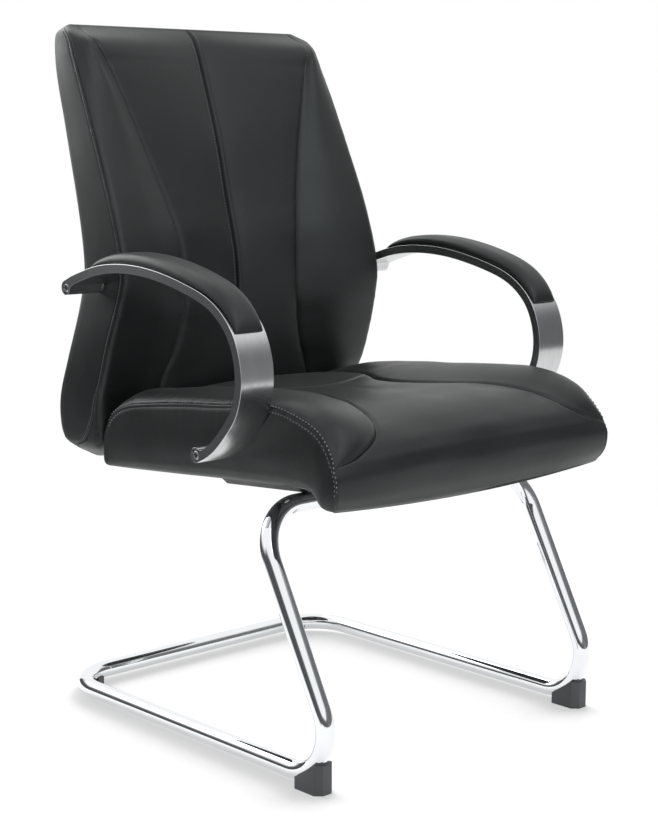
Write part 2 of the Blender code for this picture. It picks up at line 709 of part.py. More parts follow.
def back_rear_y(x, height):
    """Give the back's rear surface, fuller in the middle."""
    half = BACK_HALF_WIDTH - back_narrowing(height)
    share = (height - BACK_BOTTOM) / BACK_HEIGHT
    return back_side_rear(height) + BACK_REAR_CROWN * (1 - (x / half) ** 2) * back_edge_ease(share)


def back_ring(height):
    """Give one closed ring of the back cushion."""
    front = back_front_half(height)
    half = BACK_HALF_WIDTH - back_narrowing(height)
    round_in = back_rear_round(height)
    rear = []
    for x, _y, _z in front:
        rear_x = x * (half - round_in) / half
        rear.append((rear_x, back_rear_y(rear_x, height), height))
    ease = back_edge_ease((height - BACK_BOTTOM) / BACK_HEIGHT)
    side_y = front[-1][1]
    rear_y = rear[-1][1]
    sides = [
        (half + BACK_SIDE_CROWN * ease, side_y * 0.5 + rear_y * 0.5),
        (half - round_in * 0.25, rear_y - (rear_y - side_y) * 0.12)]
    left = [(x, y, height) for x, y in sides]
    right = [(-x, y, height) for x, y in sides[::-1]]
    return mirrored_row(front) + left + mirrored_row(rear)[::-1] + right


back_heights = [BACK_BOTTOM + level * BACK_HEIGHT for level in BACK_LEVELS]
back_row = 2 * len(back_front_half(back_heights[0])) - 1
back_cushion = add_part(
    "back_cushion", loft_mesh("back_cushion", [back_ring(height) for height in back_heights], back_row),
    LEATHER, upper)


# Back board: plywood bent to the back's side view
board_line = through([
    (0.030, 0.3990), (0.100, 0.3950), (0.160, 0.3850), (0.220, 0.3750), (0.260, 0.3730), (0.300, 0.3760),
    (0.380, 0.3930), (0.460, 0.4140), (0.540, 0.4350), (0.602, 0.4450)])
BOARD_STEPS = 16


def board_offset(height, distance):
    """Give a (y, z) point at a distance in front of the board's middle line."""
    step = 0.001
    slant = (board_line(height + step) - board_line(height - step)) / (2 * step)
    length = math.hypot(1.0, slant)
    return board_line(height) - distance / length, height + distance * slant / length


def board_side(distance, low, high):
    """Give the points of one face of the board, from low to high."""
    return [
        board_offset(low + (high - low) * step / BOARD_STEPS, distance) for step in range(BOARD_STEPS + 1)]


half_board = BACK_BOARD_THICKNESS / 2
board_outline = board_side(half_board, BACK_BOARD_BOTTOM, BACK_BOARD_TOP)
board_outline += board_side(-half_board, BACK_BOARD_BOTTOM, BACK_BOARD_TOP)[::-1]
back_board = add_part(
    "back_board", side_outline_mesh("back_board", board_outline, BACK_BOARD_HALF_WIDTH, 0.0),
    PLYWOOD, upper)
pocket_low = BACK_BOARD_BOTTOM - SOFT_GAP
pocket_high = BACK_BOARD_TOP + SOFT_GAP
pocket_outline = board_side(half_board + SOFT_GAP, pocket_low, pocket_high)
pocket_outline += [(board_line(pocket_high) + 0.1, pocket_high), (board_line(pocket_low) + 0.1, pocket_low)]
back_pocket = add_cutter(
    "back_pocket",
    side_outline_mesh("back_pocket", pocket_outline, BACK_BOARD_HALF_WIDTH + SOFT_GAP, 0.0), upper)
cut(back_cushion, back_pocket)


# Rear panel: the upholstered cover that closes the back behind its board
def rear_panel_ring(height):
    """Give one closed ring of the rear panel."""
    inner = board_line(height) + half_board + GAP * 2
    columns = [(column / 5) * (BACK_BOARD_HALF_WIDTH - GAP) for column in range(6)]
    front = mirrored_row([(x, inner, height) for x in columns])
    rear = mirrored_row([(x, back_rear_y(x, height) - SOFT_GAP, height) for x in columns])
    return front + rear[::-1]


panel_low = BACK_BOARD_BOTTOM + GAP
panel_high = BACK_BOARD_TOP - GAP
panel_steps = 18
panel_rings = [
    rear_panel_ring(panel_low + (panel_high - panel_low) * step / panel_steps)
    for step in range(panel_steps + 1)]
rear_panel = add_part("back_rear_panel", loft_mesh("back_rear_panel", panel_rings, 11), LEATHER, upper)


# Steel brackets that carry the back board from the seat board
def bracket_outline(extra):
    """Give the bracket's side view, grown on all sides by an extra."""
    front_face = half_board + GAP + BRACKET_STEEL + extra
    rear_face = half_board + GAP - extra
    rise_top = BACK_BOARD_BOTTOM + BRACKET_RISE + extra
    seat_low = pan_high + GAP - extra
    seat_high = pan_high + GAP + BRACKET_STEEL + extra
    start = PAN_REAR - BRACKET_REACH - extra
    corner_y = board_line(BACK_BOARD_BOTTOM) - front_face
    high_y, high_z = off_slope(corner_y, seat_high)
    outline = [off_slope(start, seat_low), off_slope(start, seat_high)]
    outline.append((board_offset(high_z, front_face)[0], off_slope(corner_y, seat_high)[1]))
    steps = 7
    for step in range(1, steps + 1):
        outline.append(board_offset(high_z + (rise_top - high_z) * step / steps, front_face))
    foot_z = off_slope(corner_y + BRACKET_STEEL, seat_low)[1]
    for step in range(steps, -1, -1):
        outline.append(board_offset(foot_z + (rise_top - foot_z) * step / steps, rear_face))
    return outline


def screw_in(name, seat, direction, parent, board, plate, cushion):
    """Fasten a plate to a board with one wood screw, and make room for it in both and in the foam."""
    seat = Vector(seat)
    direction = Vector(direction).normalized()
    hole = add_cutter(
        name + "_hole",
        rod_mesh("hole", seat + direction * 0.001, seat - direction * (WOOD_SCREW_GRIP + GAP * 3),
                 WOOD_SCREW_RADIUS + GAP, 12), parent)
    cut(plate, hole)
    cut(board, hole)
    room = add_cutter(
        name + "_room",
        rod_mesh("room", seat - direction * 0.001, seat + direction * (WOOD_SCREW_HEAD + SOFT_GAP * 2),
                 WOOD_SCREW_HEAD_RADIUS + SOFT_GAP, 12), parent)
    cut(cushion, room)
    turned_part(
        name,
        fastener_profile(WOOD_SCREW_HEAD_RADIUS, WOOD_SCREW_HEAD, WOOD_SCREW_RADIUS, WOOD_SCREW_GRIP),
        ZINC_STEEL, parent, seat + direction * GAP, direction)


for side, side_name in ((-1, "right"), (1, "left")):
    x = side * BRACKET_X
    bracket = add_part(
        "back_bracket_" + side_name,
        side_outline_mesh("back_bracket", bracket_outline(0.0), BRACKET_HALF_WIDTH, x),
        BLACK_STEEL, upper)
    bracket_room = add_cutter(
        "bracket_room_" + side_name,
        side_outline_mesh("bracket_room", bracket_outline(SOFT_GAP), BRACKET_HALF_WIDTH + SOFT_GAP, x),
        upper)
    cut(seat_cushion, bracket_room)
    cut(back_cushion, bracket_room)
    seat_screw_y, seat_screw_z = off_slope(PAN_REAR - BRACKET_REACH * 0.6, pan_high + GAP + BRACKET_STEEL)
    screw_in(
        "bracket_screw_seat_" + side_name, (x, seat_screw_y, seat_screw_z),
        (0.0, math.sin(SEAT_PITCH), math.cos(SEAT_PITCH)), upper, seat_pan, bracket, seat_cushion)
    back_screw_height = BACK_BOARD_BOTTOM + BRACKET_RISE * 0.8
    near = board_offset(back_screw_height, half_board + GAP + BRACKET_STEEL)
    far = board_offset(back_screw_height, half_board)
    screw_in(
        "bracket_screw_back_" + side_name, (x, *near), (0.0, near[0] - far[0], near[1] - far[1]),
        upper, back_board, bracket, back_cushion)


# Arm straps: C-shaped aluminium bars, each with a bolt eye across both ends
ARM_LINE = [
    (0.3365, 0.2706), (0.3134, 0.2802), (0.2564, 0.2959), (0.1940, 0.3008), (0.1274, 0.2953),
    (0.0484, 0.2770), (0.0110, 0.2600), (-0.0167, 0.2335), (-0.0312, 0.1990), (-0.0332, 0.1650),
    (-0.0225, 0.1315), (-0.0020, 0.1065), (0.0225, 0.0835), (0.0507, 0.0678)]
chords = [0.0]
for start, end in zip(ARM_LINE, ARM_LINE[1:]):
    chords.append(chords[-1] + math.dist(start, end))
arm_y = through([(chord, point[0]) for chord, point in zip(chords, ARM_LINE)])
arm_z = through([(chord, point[1]) for chord, point in zip(chords, ARM_LINE)])
arm_length = chords[-1]


def arm_offset(run, distance):
    """Give a (y, z) point beside the arm's middle line, a distance towards the outside of the C."""
    step = 0.001
    low = max(run - step, 0.0)
    high = min(run + step, arm_length)
    along = Vector((arm_y(high) - arm_y(low), arm_z(high) - arm_z(low))).normalized()
    return arm_y(run) + along.y * distance, arm_z(run) - along.x * distance


def arm_band(inner, outer, start, end, steps):
    """Give the outline between two distances from the arm's middle line."""
    runs = [start + (end - start) * step / steps for step in range(steps + 1)]
    return [arm_offset(run, outer) for run in runs] + [arm_offset(run, inner) for run in runs[::-1]]


half_arm = ARM_THICKNESS / 2
eye_reach = ARM_X + ARM_HALF_WIDTH
eye_inside = ARM_X - ARM_HALF_WIDTH
bolt_under_head = eye_reach - ARM_BOLT_SUNK - ARM_BOLT_HEAD


def pad_thickness(share):
    """Give the pad's height above the strap, from its rear end to its front end."""
    return through([
        (0.0, 0.0032), (0.02, 0.0070), (0.06, 0.0102), (0.14, 0.0130), (0.30, 0.0145), (0.60, 0.0150),
        (0.80, 0.0140), (0.90, 0.0115), (0.96, 0.0080), (0.99, 0.0048), (1.0, 0.0030)])(share)


def pad_ring(run, centre_x):
    """Give one closed ring of an arm pad, across the strap."""
    share = (run - PAD_START) / PAD_LENGTH
    height = pad_thickness(share)
    foot = half_arm + SOFT_GAP
    pull = 0.0022 * min(1.0, (1 - share) / 0.15) + 0.0008
    half = PAD_HALF_WIDTH - 0.0025 * max(0.0, (share - 0.6) / 0.4)
    across = [
        (0.0, 1.0), (0.34, 1.0 - PAD_CROWN_SHARE * 0.12), (0.66, 1.0 - PAD_CROWN_SHARE * 0.48),
        (0.87, 1.0 - PAD_CROWN_SHARE)]
    top = []
    for place, level in across:
        y, z = arm_offset(run, foot + height * level)
        top.append((half * place, y, z))
    side_y, side_z = arm_offset(run, foot + height * (1.0 - PAD_CROWN_SHARE) * 0.55)
    under_y, under_z = arm_offset(run, foot)
    under = [(max(half * place - pull * place, 0.0), under_y, under_z) for place, _level in across]
    ring = mirrored_row(top) + [(half, side_y, side_z)]
    ring += mirrored_row(under)[::-1] + [(-half, side_y, side_z)]
    return [(centre_x + x, y, z) for x, y, z in ring]


arm_step = arm_length / ARM_STEPS
pad_end = PAD_START + PAD_LENGTH
pad_runs = [PAD_START]
for step in range(ARM_STEPS):
    if PAD_START + arm_step * 0.3 < step * arm_step < pad_end - arm_step * 0.3:
        pad_runs.append(step * arm_step)
pad_runs.append(pad_end)
base_low = half_arm + GAP
base_high = base_low + PAD_BASE_THICKNESS
pad_screw_grip = ARM_THICKNESS - WOOD_SCREW_HEAD + PAD_BASE_THICKNESS * 0.9

for side, side_name in ((-1, "right"), (1, "left")):
    arm = add_part(
        "arm_" + side_name,
        side_outline_mesh("arm", arm_band(-half_arm, half_arm, 0.0, arm_length, ARM_STEPS),
                          ARM_HALF_WIDTH, side * ARM_X), ALUMINIUM, upper)
    for eye_name, eye in (("upper", UPPER_EYE), ("lower", LOWER_EYE)):
        inner_end = Vector((side * eye_inside, *eye))
        outer_end = Vector((side * eye_reach, *eye))
        combine(arm, add_cutter(
            "eye_" + eye_name + "_" + side_name,
            rod_mesh("eye", inner_end, outer_end, ARM_EYE_RADIUS, 28), upper), "UNION")
    for eye_name, eye in (("upper", UPPER_EYE), ("lower", LOWER_EYE)):
        inner_end = Vector((side * (eye_inside - 0.001), *eye))
        outer_end = Vector((side * (eye_reach + 0.001), *eye))
        seat = Vector((side * bolt_under_head, *eye))
        cut(arm, add_cutter(
            "arm_hole_" + eye_name + "_" + side_name,
            rod_mesh("arm_hole", inner_end, outer_end, ARM_BOLT_RADIUS + GAP), upper))
        cut(arm, add_cutter(
            "arm_counterbore_" + eye_name + "_" + side_name,
            rod_mesh("arm_counterbore", seat, outer_end, ARM_BOLT_HEAD_RADIUS + GAP), upper))
    pad_rings = [pad_ring(run, side * ARM_X) for run in pad_runs]
    pad = add_part("arm_pad_" + side_name, loft_mesh("arm_pad", pad_rings, 7), LEATHER, upper)
    base_start = PAD_START + PAD_BASE_INSET
    base_end = pad_end - PAD_BASE_INSET
    base = add_part(
        "pad_base_" + side_name,
        side_outline_mesh("pad_base", arm_band(base_low, base_high, base_start, base_end, 20),
                          PAD_BASE_HALF_WIDTH, side * ARM_X), PLASTIC, upper)
    base_room = add_cutter(
        "base_room_" + side_name,
        side_outline_mesh(
            "base_room",
            arm_band(base_low - ARM_THICKNESS / 4, base_high + GAP, base_start - GAP, base_end + GAP, 20),
            PAD_BASE_HALF_WIDTH + GAP, side * ARM_X), upper)
    cut(pad, base_room)
    for screw_name, share in (("rear", 0.25), ("front", 0.75)):
        run = base_start + (base_end - base_start) * share
        under = Vector((side * ARM_X, *arm_offset(run, WOOD_SCREW_HEAD - half_arm)))
        above = Vector((side * ARM_X, *arm_offset(run, half_arm)))
        inward = (above - under).normalized()
        cut(arm, add_cutter(
            "pad_screw_hole_" + screw_name + "_" + side_name,
            rod_mesh("pad_screw_hole", under - inward * 0.001, above + inward * 0.001,
                     WOOD_SCREW_RADIUS + GAP, 12), upper))
        cut(arm, add_cutter(
            "pad_screw_sink_" + screw_name + "_" + side_name,
            rod_mesh("pad_screw_sink", under - inward * (WOOD_SCREW_HEAD + 0.002), under,
                     WOOD_SCREW_HEAD_RADIUS + GAP, 16), upper))
        cut(base, add_cutter(
            "pad_base_hole_" + screw_name + "_" + side_name,
            rod_mesh("pad_base_hole", above - inward * 0.001, above + inward * (PAD_BASE_THICKNESS + 0.002),
                     WOOD_SCREW_RADIUS + GAP, 12), upper))
        turned_part(
            "pad_screw_" + screw_name + "_" + side_name,
            fastener_profile(WOOD_SCREW_HEAD_RADIUS, WOOD_SCREW_HEAD - GAP, WOOD_SCREW_RADIUS,
                             pad_screw_grip),
            ZINC_STEEL, upper, under - inward * GAP, -inward)


# Arm bolts, the steel anchors that take them inside the seat and back, and the spacers on the back
def anchor(name, side, low, high, flange_low, flange_high, nut_centre, parent):
    """Make an angle bracket with a weld nut, for one arm bolt."""
    part = add_part(name, box_mesh(name, low, high), BLACK_STEEL, parent)
    flange = add_cutter(name + "_flange", box_mesh("flange", flange_low, flange_high), parent)
    combine(part, flange, "UNION")
    inner = side * (ANCHOR_OUTSET - ANCHOR_STEEL)
    nut_start = Vector((inner + side * ANCHOR_STEEL / 2, *nut_centre))
    nut_end = Vector((inner - side * WELD_NUT_LENGTH, *nut_centre))
    nut = add_cutter(name + "_nut", rod_mesh("nut", nut_start, nut_end, WELD_NUT_RADIUS, 6), parent)
    combine(part, nut, "UNION")
    hole = add_cutter(
        name + "_hole",
        rod_mesh("hole", nut_end - Vector((side * 0.002, 0, 0)), (side * (ANCHOR_OUTSET + 0.002), *nut_centre),
                 ARM_BOLT_RADIUS + GAP), parent)
    cut(part, hole)
    return part


def ordered(first, second):
    """Give a box's lowest and highest corners from any two opposite ones."""
    low = [min(a, b) for a, b in zip(first, second)]
    high = [max(a, b) for a, b in zip(first, second)]
    return low, high


for side, side_name in ((-1, "right"), (1, "left")):
    outer = side * ANCHOR_OUTSET
    inner = side * (ANCHOR_OUTSET - ANCHOR_STEEL)
    flange_end = side * (ANCHOR_OUTSET - ANCHOR_FLANGE)

    along, up = on_slope(*LOWER_EYE)
    floor_up = pan_high + GAP
    top_up = up + ANCHOR_EDGE
    near_y = along - ANCHOR_HALF_LENGTH
    far_y = along + ANCHOR_HALF_LENGTH
    low, high = ordered((outer, near_y, floor_up), (inner, far_y, top_up))
    flange_low, flange_high = ordered((outer, near_y, floor_up), (flange_end, far_y, floor_up + ANCHOR_STEEL))
    anchor("seat_anchor_" + side_name, side, low, high, flange_low, flange_high, (along, up), slope)
    nut_room = WELD_NUT_RADIUS + SOFT_GAP
    room_low, room_high = ordered(
        (outer + side * SOFT_GAP, near_y - SOFT_GAP, floor_up - SOFT_GAP * 3),
        (side * (ANCHOR_OUTSET - ANCHOR_STEEL - WELD_NUT_LENGTH) - side * SOFT_GAP * 6, far_y + SOFT_GAP,
         top_up + SOFT_GAP))
    cut(seat_cushion, add_cutter(
        "seat_anchor_room_" + side_name, box_mesh("seat_anchor_room", room_low, room_high), slope))
    room_low, room_high = ordered(
        (outer - side * SOFT_GAP, near_y - SOFT_GAP * 2, floor_up - SOFT_GAP * 2),
        (flange_end - side * SOFT_GAP, far_y + SOFT_GAP * 2, floor_up + ANCHOR_STEEL + SOFT_GAP))
    cut(seat_cushion, add_cutter(
        "seat_flange_room_" + side_name, box_mesh("seat_flange_room", room_low, room_high), slope))

    eye_y, eye_z = UPPER_EYE
    low_z = eye_z - ANCHOR_HALF_LENGTH
    high_z = eye_z + ANCHOR_HALF_LENGTH
    rear_y = min(board_offset(low_z, half_board)[0], board_offset(eye_z, half_board)[0],
                 board_offset(high_z, half_board)[0]) - GAP
    front_y = eye_y - ANCHOR_EDGE
    low, high = ordered((outer, front_y, low_z), (inner, rear_y, high_z))
    flange_low, flange_high = ordered(
        (outer, rear_y - ANCHOR_STEEL, low_z), (side * (BACK_BOARD_HALF_WIDTH - ANCHOR_FLANGE), rear_y, high_z))
    anchor("back_anchor_" + side_name, side, low, high, flange_low, flange_high, UPPER_EYE, upper)
    room_low, room_high = ordered(
        (outer + side * SOFT_GAP, front_y - SOFT_GAP, low_z - SOFT_GAP),
        (side * (ANCHOR_OUTSET - ANCHOR_STEEL - WELD_NUT_LENGTH) - side * SOFT_GAP * 6,
         rear_y + SOFT_GAP * 2, high_z + SOFT_GAP))
    cut(back_cushion, add_cutter(
        "back_anchor_room_" + side_name, box_mesh("back_anchor_room", room_low, room_high), upper))
    room_low, room_high = ordered(
        (outer - side * SOFT_GAP, rear_y - ANCHOR_STEEL - SOFT_GAP, low_z - SOFT_GAP * 2),
        (side * (BACK_BOARD_HALF_WIDTH - ANCHOR_FLANGE) - side * SOFT_GAP, rear_y + 0.004,
         high_z + SOFT_GAP * 2))
    cut(back_cushion, add_cutter(
        "back_flange_room_" + side_name, box_mesh("back_flange_room", room_low, room_high), upper))

    for eye_name, eye, cushion in (("upper", UPPER_EYE, back_cushion), ("lower", LOWER_EYE, seat_cushion)):
        seat = Vector((side * bolt_under_head, *eye))
        bolt = turned_part(
            "arm_bolt_" + eye_name + "_" + side_name,
            fastener_profile(
                ARM_BOLT_HEAD_RADIUS, ARM_BOLT_HEAD, ARM_BOLT_RADIUS,
                bolt_under_head - ANCHOR_OUTSET + ARM_BOLT_REACH - (eye_inside - ANCHOR_OUTSET) - 0.004),
            ZINC_STEEL, upper, seat + Vector((side * GAP, 0, 0)), (side, 0.0, 0.0))
        key_start = Vector((side * (bolt_under_head + ARM_BOLT_HEAD * 0.4), *eye))
        cut(bolt, add_cutter(
            "bolt_key_" + eye_name + "_" + side_name,
            rod_mesh("bolt_key", key_start, (side * (eye_reach + 0.002), *eye), ARM_BOLT_KEY, 6), upper))
        cut(cushion, add_cutter(
            "bolt_room_" + eye_name + "_" + side_name,
            rod_mesh("bolt_room", (side * (ANCHOR_OUTSET - ARM_BOLT_REACH), *eye), (side * eye_inside, *eye),
                     ARM_BOLT_RADIUS + SOFT_GAP * 2, 12), upper))
        spacer_start = Vector((side * (ANCHOR_OUTSET + GAP), *eye))
        spacer_end = Vector((side * (eye_inside - GAP), *eye))
        spacer = add_part(
            "arm_spacer_" + eye_name + "_" + side_name,
            rod_mesh("arm_spacer", spacer_start, spacer_end, ARM_SPACER_RADIUS), ALUMINIUM, upper)
        cut(spacer, add_cutter(
            "spacer_bore_" + eye_name + "_" + side_name,
            rod_mesh("spacer_bore", spacer_start - (spacer_end - spacer_start), spacer_end * 2 - spacer_start,
                     ARM_BOLT_RADIUS + GAP), upper))
        cut(cushion, add_cutter(
            "spacer_room_" + eye_name + "_" + side_name,
            rod_mesh("spacer_room", (side * (ANCHOR_OUTSET - ANCHOR_STEEL / 2), *eye), (side * eye_reach, *eye),
                     ARM_SPACER_RADIUS + SOFT_GAP, 16), upper))


# The finished chair is moved so that its box is centred over the origin and stands on z = 0
bpy.context.view_layer.update()
shapes = bpy.context.evaluated_depsgraph_get()
corner_points = []
for part in parts.objects:
    if part.type == "MESH":
        shape = part.evaluated_get(shapes)
        corner_points += [part.matrix_world @ vertex.co for vertex in shape.data.vertices]
low_y = min(point.y for point in corner_points)
high_y = max(point.y for point in corner_points)
low_z = min(point.z for point in corner_points)
chair.location = (0.0, -(low_y + high_y) / 2, -low_z)
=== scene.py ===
import math

import bmesh
import bpy
import numpy as np
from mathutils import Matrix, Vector


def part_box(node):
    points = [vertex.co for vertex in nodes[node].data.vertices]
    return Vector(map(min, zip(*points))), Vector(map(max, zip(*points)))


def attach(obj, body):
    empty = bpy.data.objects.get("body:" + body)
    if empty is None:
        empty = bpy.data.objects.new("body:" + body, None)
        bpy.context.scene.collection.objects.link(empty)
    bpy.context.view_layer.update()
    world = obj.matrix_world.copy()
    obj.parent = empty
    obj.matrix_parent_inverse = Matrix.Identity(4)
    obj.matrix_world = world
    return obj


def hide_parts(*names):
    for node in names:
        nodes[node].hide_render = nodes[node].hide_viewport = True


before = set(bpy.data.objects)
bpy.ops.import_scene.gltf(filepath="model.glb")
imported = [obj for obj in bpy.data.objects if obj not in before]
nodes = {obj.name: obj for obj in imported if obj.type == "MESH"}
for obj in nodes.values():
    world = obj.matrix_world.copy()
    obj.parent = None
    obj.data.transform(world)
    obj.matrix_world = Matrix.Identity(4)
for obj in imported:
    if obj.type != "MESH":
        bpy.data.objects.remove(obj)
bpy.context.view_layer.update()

# Studio: a white paper sweep under soft light, with the camera in front and to the chair's right, a
# little lower than the top of the back. The sweep is plain white and keeps the chair's soft shadow, with a
# painted contact shadow close to the rails and feet.
CAMERA_TARGET = Vector((0.0, -0.01645, 0.421))
CAMERA_AZIMUTH = math.radians(-42.59)
CAMERA_RISE = math.radians(9.37)
CAMERA_DISTANCE = 2.5229
CAMERA_LENS = 76.58


def in_scene(name, data):
    """Stand a mesh, a curve, a lamp or a camera in the scene."""
    thing = bpy.data.objects.new(name, data)
    bpy.context.scene.collection.objects.link(thing)
    return thing


away = Vector((
    math.sin(CAMERA_AZIMUTH) * math.cos(CAMERA_RISE),
    -math.cos(CAMERA_AZIMUTH) * math.cos(CAMERA_RISE),
    math.sin(CAMERA_RISE)))
lens = bpy.data.cameras.new("photo_camera")
lens.sensor_fit = "VERTICAL"
lens.sensor_height = 36.0
lens.lens = CAMERA_LENS
camera = in_scene("photo_camera", lens)
camera.location = CAMERA_TARGET + away * CAMERA_DISTANCE
camera.rotation_euler = away.to_track_quat("Z", "Y").to_euler()
bpy.context.scene.camera = camera
bpy.context.scene.view_settings.view_transform = "Standard"


def linear(hex_colour):
    """Turn an sRGB hex colour into linear light."""
    values = [int(hex_colour[place:place + 2], 16) / 255 for place in (1, 3, 5)]
    return [value / 12.92 if value <= 0.04045 else ((value + 0.055) / 1.055) ** 2.4
            for value in values] + [1.0]


def add_node(tree, kind, inputs=None, **settings):
    """Add a node with its settings, and put values or other nodes' outputs into its inputs."""
    node = tree.nodes.new(kind)
    for name, value in settings.items():
        setattr(node, name, value)
    for name, value in (inputs or {}).items():
        if isinstance(value, bpy.types.NodeSocket):
            tree.links.new(value, node.inputs[name])
        else:
            node.inputs[name].default_value = value
    return node


def new_material(name):
    """Start an empty node material and give it with its tree."""
    material = bpy.data.materials.new(name)
    material.use_nodes = True
    material.node_tree.nodes.clear()
    return material, material.node_tree


def finish_material(tree, surface):
    """Join a shader to the material's output."""
    add_node(tree, "ShaderNodeOutputMaterial", {"Surface": surface})


# White paper: dull and clean. The camera and the metal see it as plain white with the chair's soft
# shadow on it, and further off it runs out to white. The deeper shade close in front of the rails and feet
# is painted shadow: an occlusion test turns the paper's glow down there.
paper, tree = new_material("white_paper")
place = add_node(tree, "ShaderNodeTexCoord").outputs["Object"]
fibres = add_node(tree, "ShaderNodeTexNoise", {
    "Vector": place, "Scale": 1 / 0.002, "Detail": 3.0})
paper_tone = add_node(tree, "ShaderNodeMix", {
    "Factor": fibres.outputs["Fac"], "A": linear("#ececec"), "B": linear("#f4f4f4")}, data_type="RGBA")
matt = add_node(tree, "ShaderNodeBsdfPrincipled", {
    "Base Color": paper_tone.outputs["Result"], "Roughness": 0.9, "Specular IOR Level": 0.1})
shadow_keeper = add_node(tree, "ShaderNodeBsdfDiffuse", {"Color": linear("#8c8c8c")})
# Painted contact shadow: an occlusion test, leaned towards the rear, dims the paper's glow where the
# chair's parts lie close by.
lean = add_node(tree, "ShaderNodeCombineXYZ", {"X": 0.62, "Y": 0.50, "Z": 0.45})
closeness = add_node(tree, "ShaderNodeAmbientOcclusion", {
    "Distance": 0.22, "Normal": lean.outputs["Vector"]}, samples=12)
painted_contact_shade = add_node(tree, "ShaderNodeMapRange", {
    "Value": closeness.outputs["AO"], "From Min": 0.62, "From Max": 0.90, "To Min": 0.52, "To Max": 0.92},
    interpolation_type="SMOOTHSTEP")
paper_glow_with_painted_shade = add_node(tree, "ShaderNodeEmission", {
    "Color": linear("#ffffff"), "Strength": painted_contact_shade.outputs["Result"]})
shaded = add_node(tree, "ShaderNodeAddShader", {
    0: shadow_keeper.outputs["BSDF"], 1: paper_glow_with_painted_shade.outputs["Emission"]})
plain = add_node(tree, "ShaderNodeEmission", {"Color": linear("#ffffff"), "Strength": 1.0})
from_chair = add_node(tree, "ShaderNodeVectorMath", {0: place}, operation="LENGTH")
run_out = add_node(tree, "ShaderNodeMapRange", {
    "Value": from_chair.outputs["Value"], "From Min": 1.0, "From Max": 1.8},
    interpolation_type="SMOOTHSTEP")
sweep = add_node(tree, "ShaderNodeMixShader", {
    "Fac": run_out.outputs["Result"], 1: shaded.outputs["Shader"], 2: plain.outputs["Emission"]})


def seen_directly(tree):
    """Tell the camera's own view, and what metal and glass show of it, from other light."""
    path = add_node(tree, "ShaderNodeLightPath").outputs
    seen = path["Is Camera Ray"]
    for ray in ("Is Glossy Ray", "Is Transmission Ray"):
        seen = add_node(tree, "ShaderNodeMath", {0: seen, 1: path[ray]}, operation="MAXIMUM").outputs[0]
    return seen


floor_look = add_node(tree, "ShaderNodeMixShader", {
    "Fac": seen_directly(tree), 1: matt.outputs["BSDF"], 2: sweep.outputs["Shader"]})
finish_material(tree, floor_look.outputs["Shader"])

FLOOR_REACH = 6.0
floor_mesh = bpy.data.meshes.new("paper_sweep")
floor_mesh.from_pydata([
    (-FLOOR_REACH, -FLOOR_REACH, 0), (FLOOR_REACH, -FLOOR_REACH, 0), (FLOOR_REACH, FLOOR_REACH, 0),
    (-FLOOR_REACH, FLOOR_REACH, 0)], [], [(0, 1, 2, 3)])
floor_mesh.materials.append(paper)
floor = in_scene("paper_sweep", floor_mesh)

world = bpy.data.worlds.new("studio")
bpy.context.scene.world = world
world.use_nodes = True
tree = world.node_tree
tree.nodes.clear()
fill = add_node(tree, "ShaderNodeBackground", {"Color": linear("#ffffff"), "Strength": 0.38})
white = add_node(tree, "ShaderNodeBackground", {"Color": linear("#ffffff"), "Strength": 1.0})
sky = add_node(tree, "ShaderNodeMixShader", {
    "Fac": seen_directly(tree), 1: fill.outputs["Background"], 2: white.outputs["Background"]})
add_node(tree, "ShaderNodeOutputWorld", {"Surface": sky.outputs["Shader"]})

lamp_aim = Vector((0.0, 0.0, 0.5))
for lamp_name, spot, wide, high, watts in (
        ("softbox_rear", (-0.7, 2.0, 1.7), 1.5, 1.4, 22.0),
        ("softbox_above", (0.35, 1.8, 2.2), 1.0, 0.9, 9.0),
        ("softbox_low", (0.3, -2.4, 0.6), 1.1, 1.0, 11.0),
        ("softbox_front", (0.0, -1.5, 2.2), 1.2, 1.2, 6.0)):
    light = bpy.data.lights.new(lamp_name, "AREA")
    light.shape = "RECTANGLE"
    light.size = wide
    light.size_y = high
    light.energy = watts
    lamp = in_scene(lamp_name, light)
    lamp.location = spot
    lamp.rotation_euler = (Vector(spot) - lamp_aim).to_track_quat("Z", "Y").to_euler()
    lamp.visible_camera = False

# Flags: graded grey cards round the chair, out of the picture, that give the chrome and the leather
# something dark to show. Each row holds a card's direction round the chair from its front, the
# distance and height of its dark edge and of its other edge, which fades to white, and its lightness.
card, tree = new_material("graded_grey_card")
place = add_node(tree, "ShaderNodeTexCoord").outputs["Object"]
mottle = add_node(tree, "ShaderNodeTexNoise", {
    "Vector": place, "Scale": 1 / 0.5, "Detail": 2.0})
card_chart = add_node(tree, "ShaderNodeUVMap", uv_map="lightness_and_height")
chart_split = add_node(tree, "ShaderNodeSeparateXYZ", {"Vector": card_chart.outputs["UV"]})
lightness = add_node(tree, "ShaderNodeMath", {
    0: mottle.outputs["Fac"], 1: 0.16, 2: chart_split.outputs["X"]},
    operation="MULTIPLY_ADD", use_clamp=True)
card_tone = add_node(tree, "ShaderNodeMix", {
    "Factor": lightness.outputs["Value"], "A": linear("#2e3032"), "B": linear("#b4b6b8")}, data_type="RGBA")
dull_card = add_node(tree, "ShaderNodeBsdfDiffuse", {"Color": card_tone.outputs["Result"]})
white_card = add_node(tree, "ShaderNodeEmission", {"Color": linear("#ffffff"), "Strength": 1.0})
card_fade = add_node(tree, "ShaderNodeMapRange", {
    "Value": chart_split.outputs["Y"], "From Min": 0.45, "From Max": 1.0}, interpolation_type="SMOOTHSTEP")
graded = add_node(tree, "ShaderNodeMixShader", {
    "Fac": card_fade.outputs["Result"], 1: dull_card.outputs["BSDF"], 2: white_card.outputs["Emission"]})
finish_material(tree, graded.outputs["Shader"])

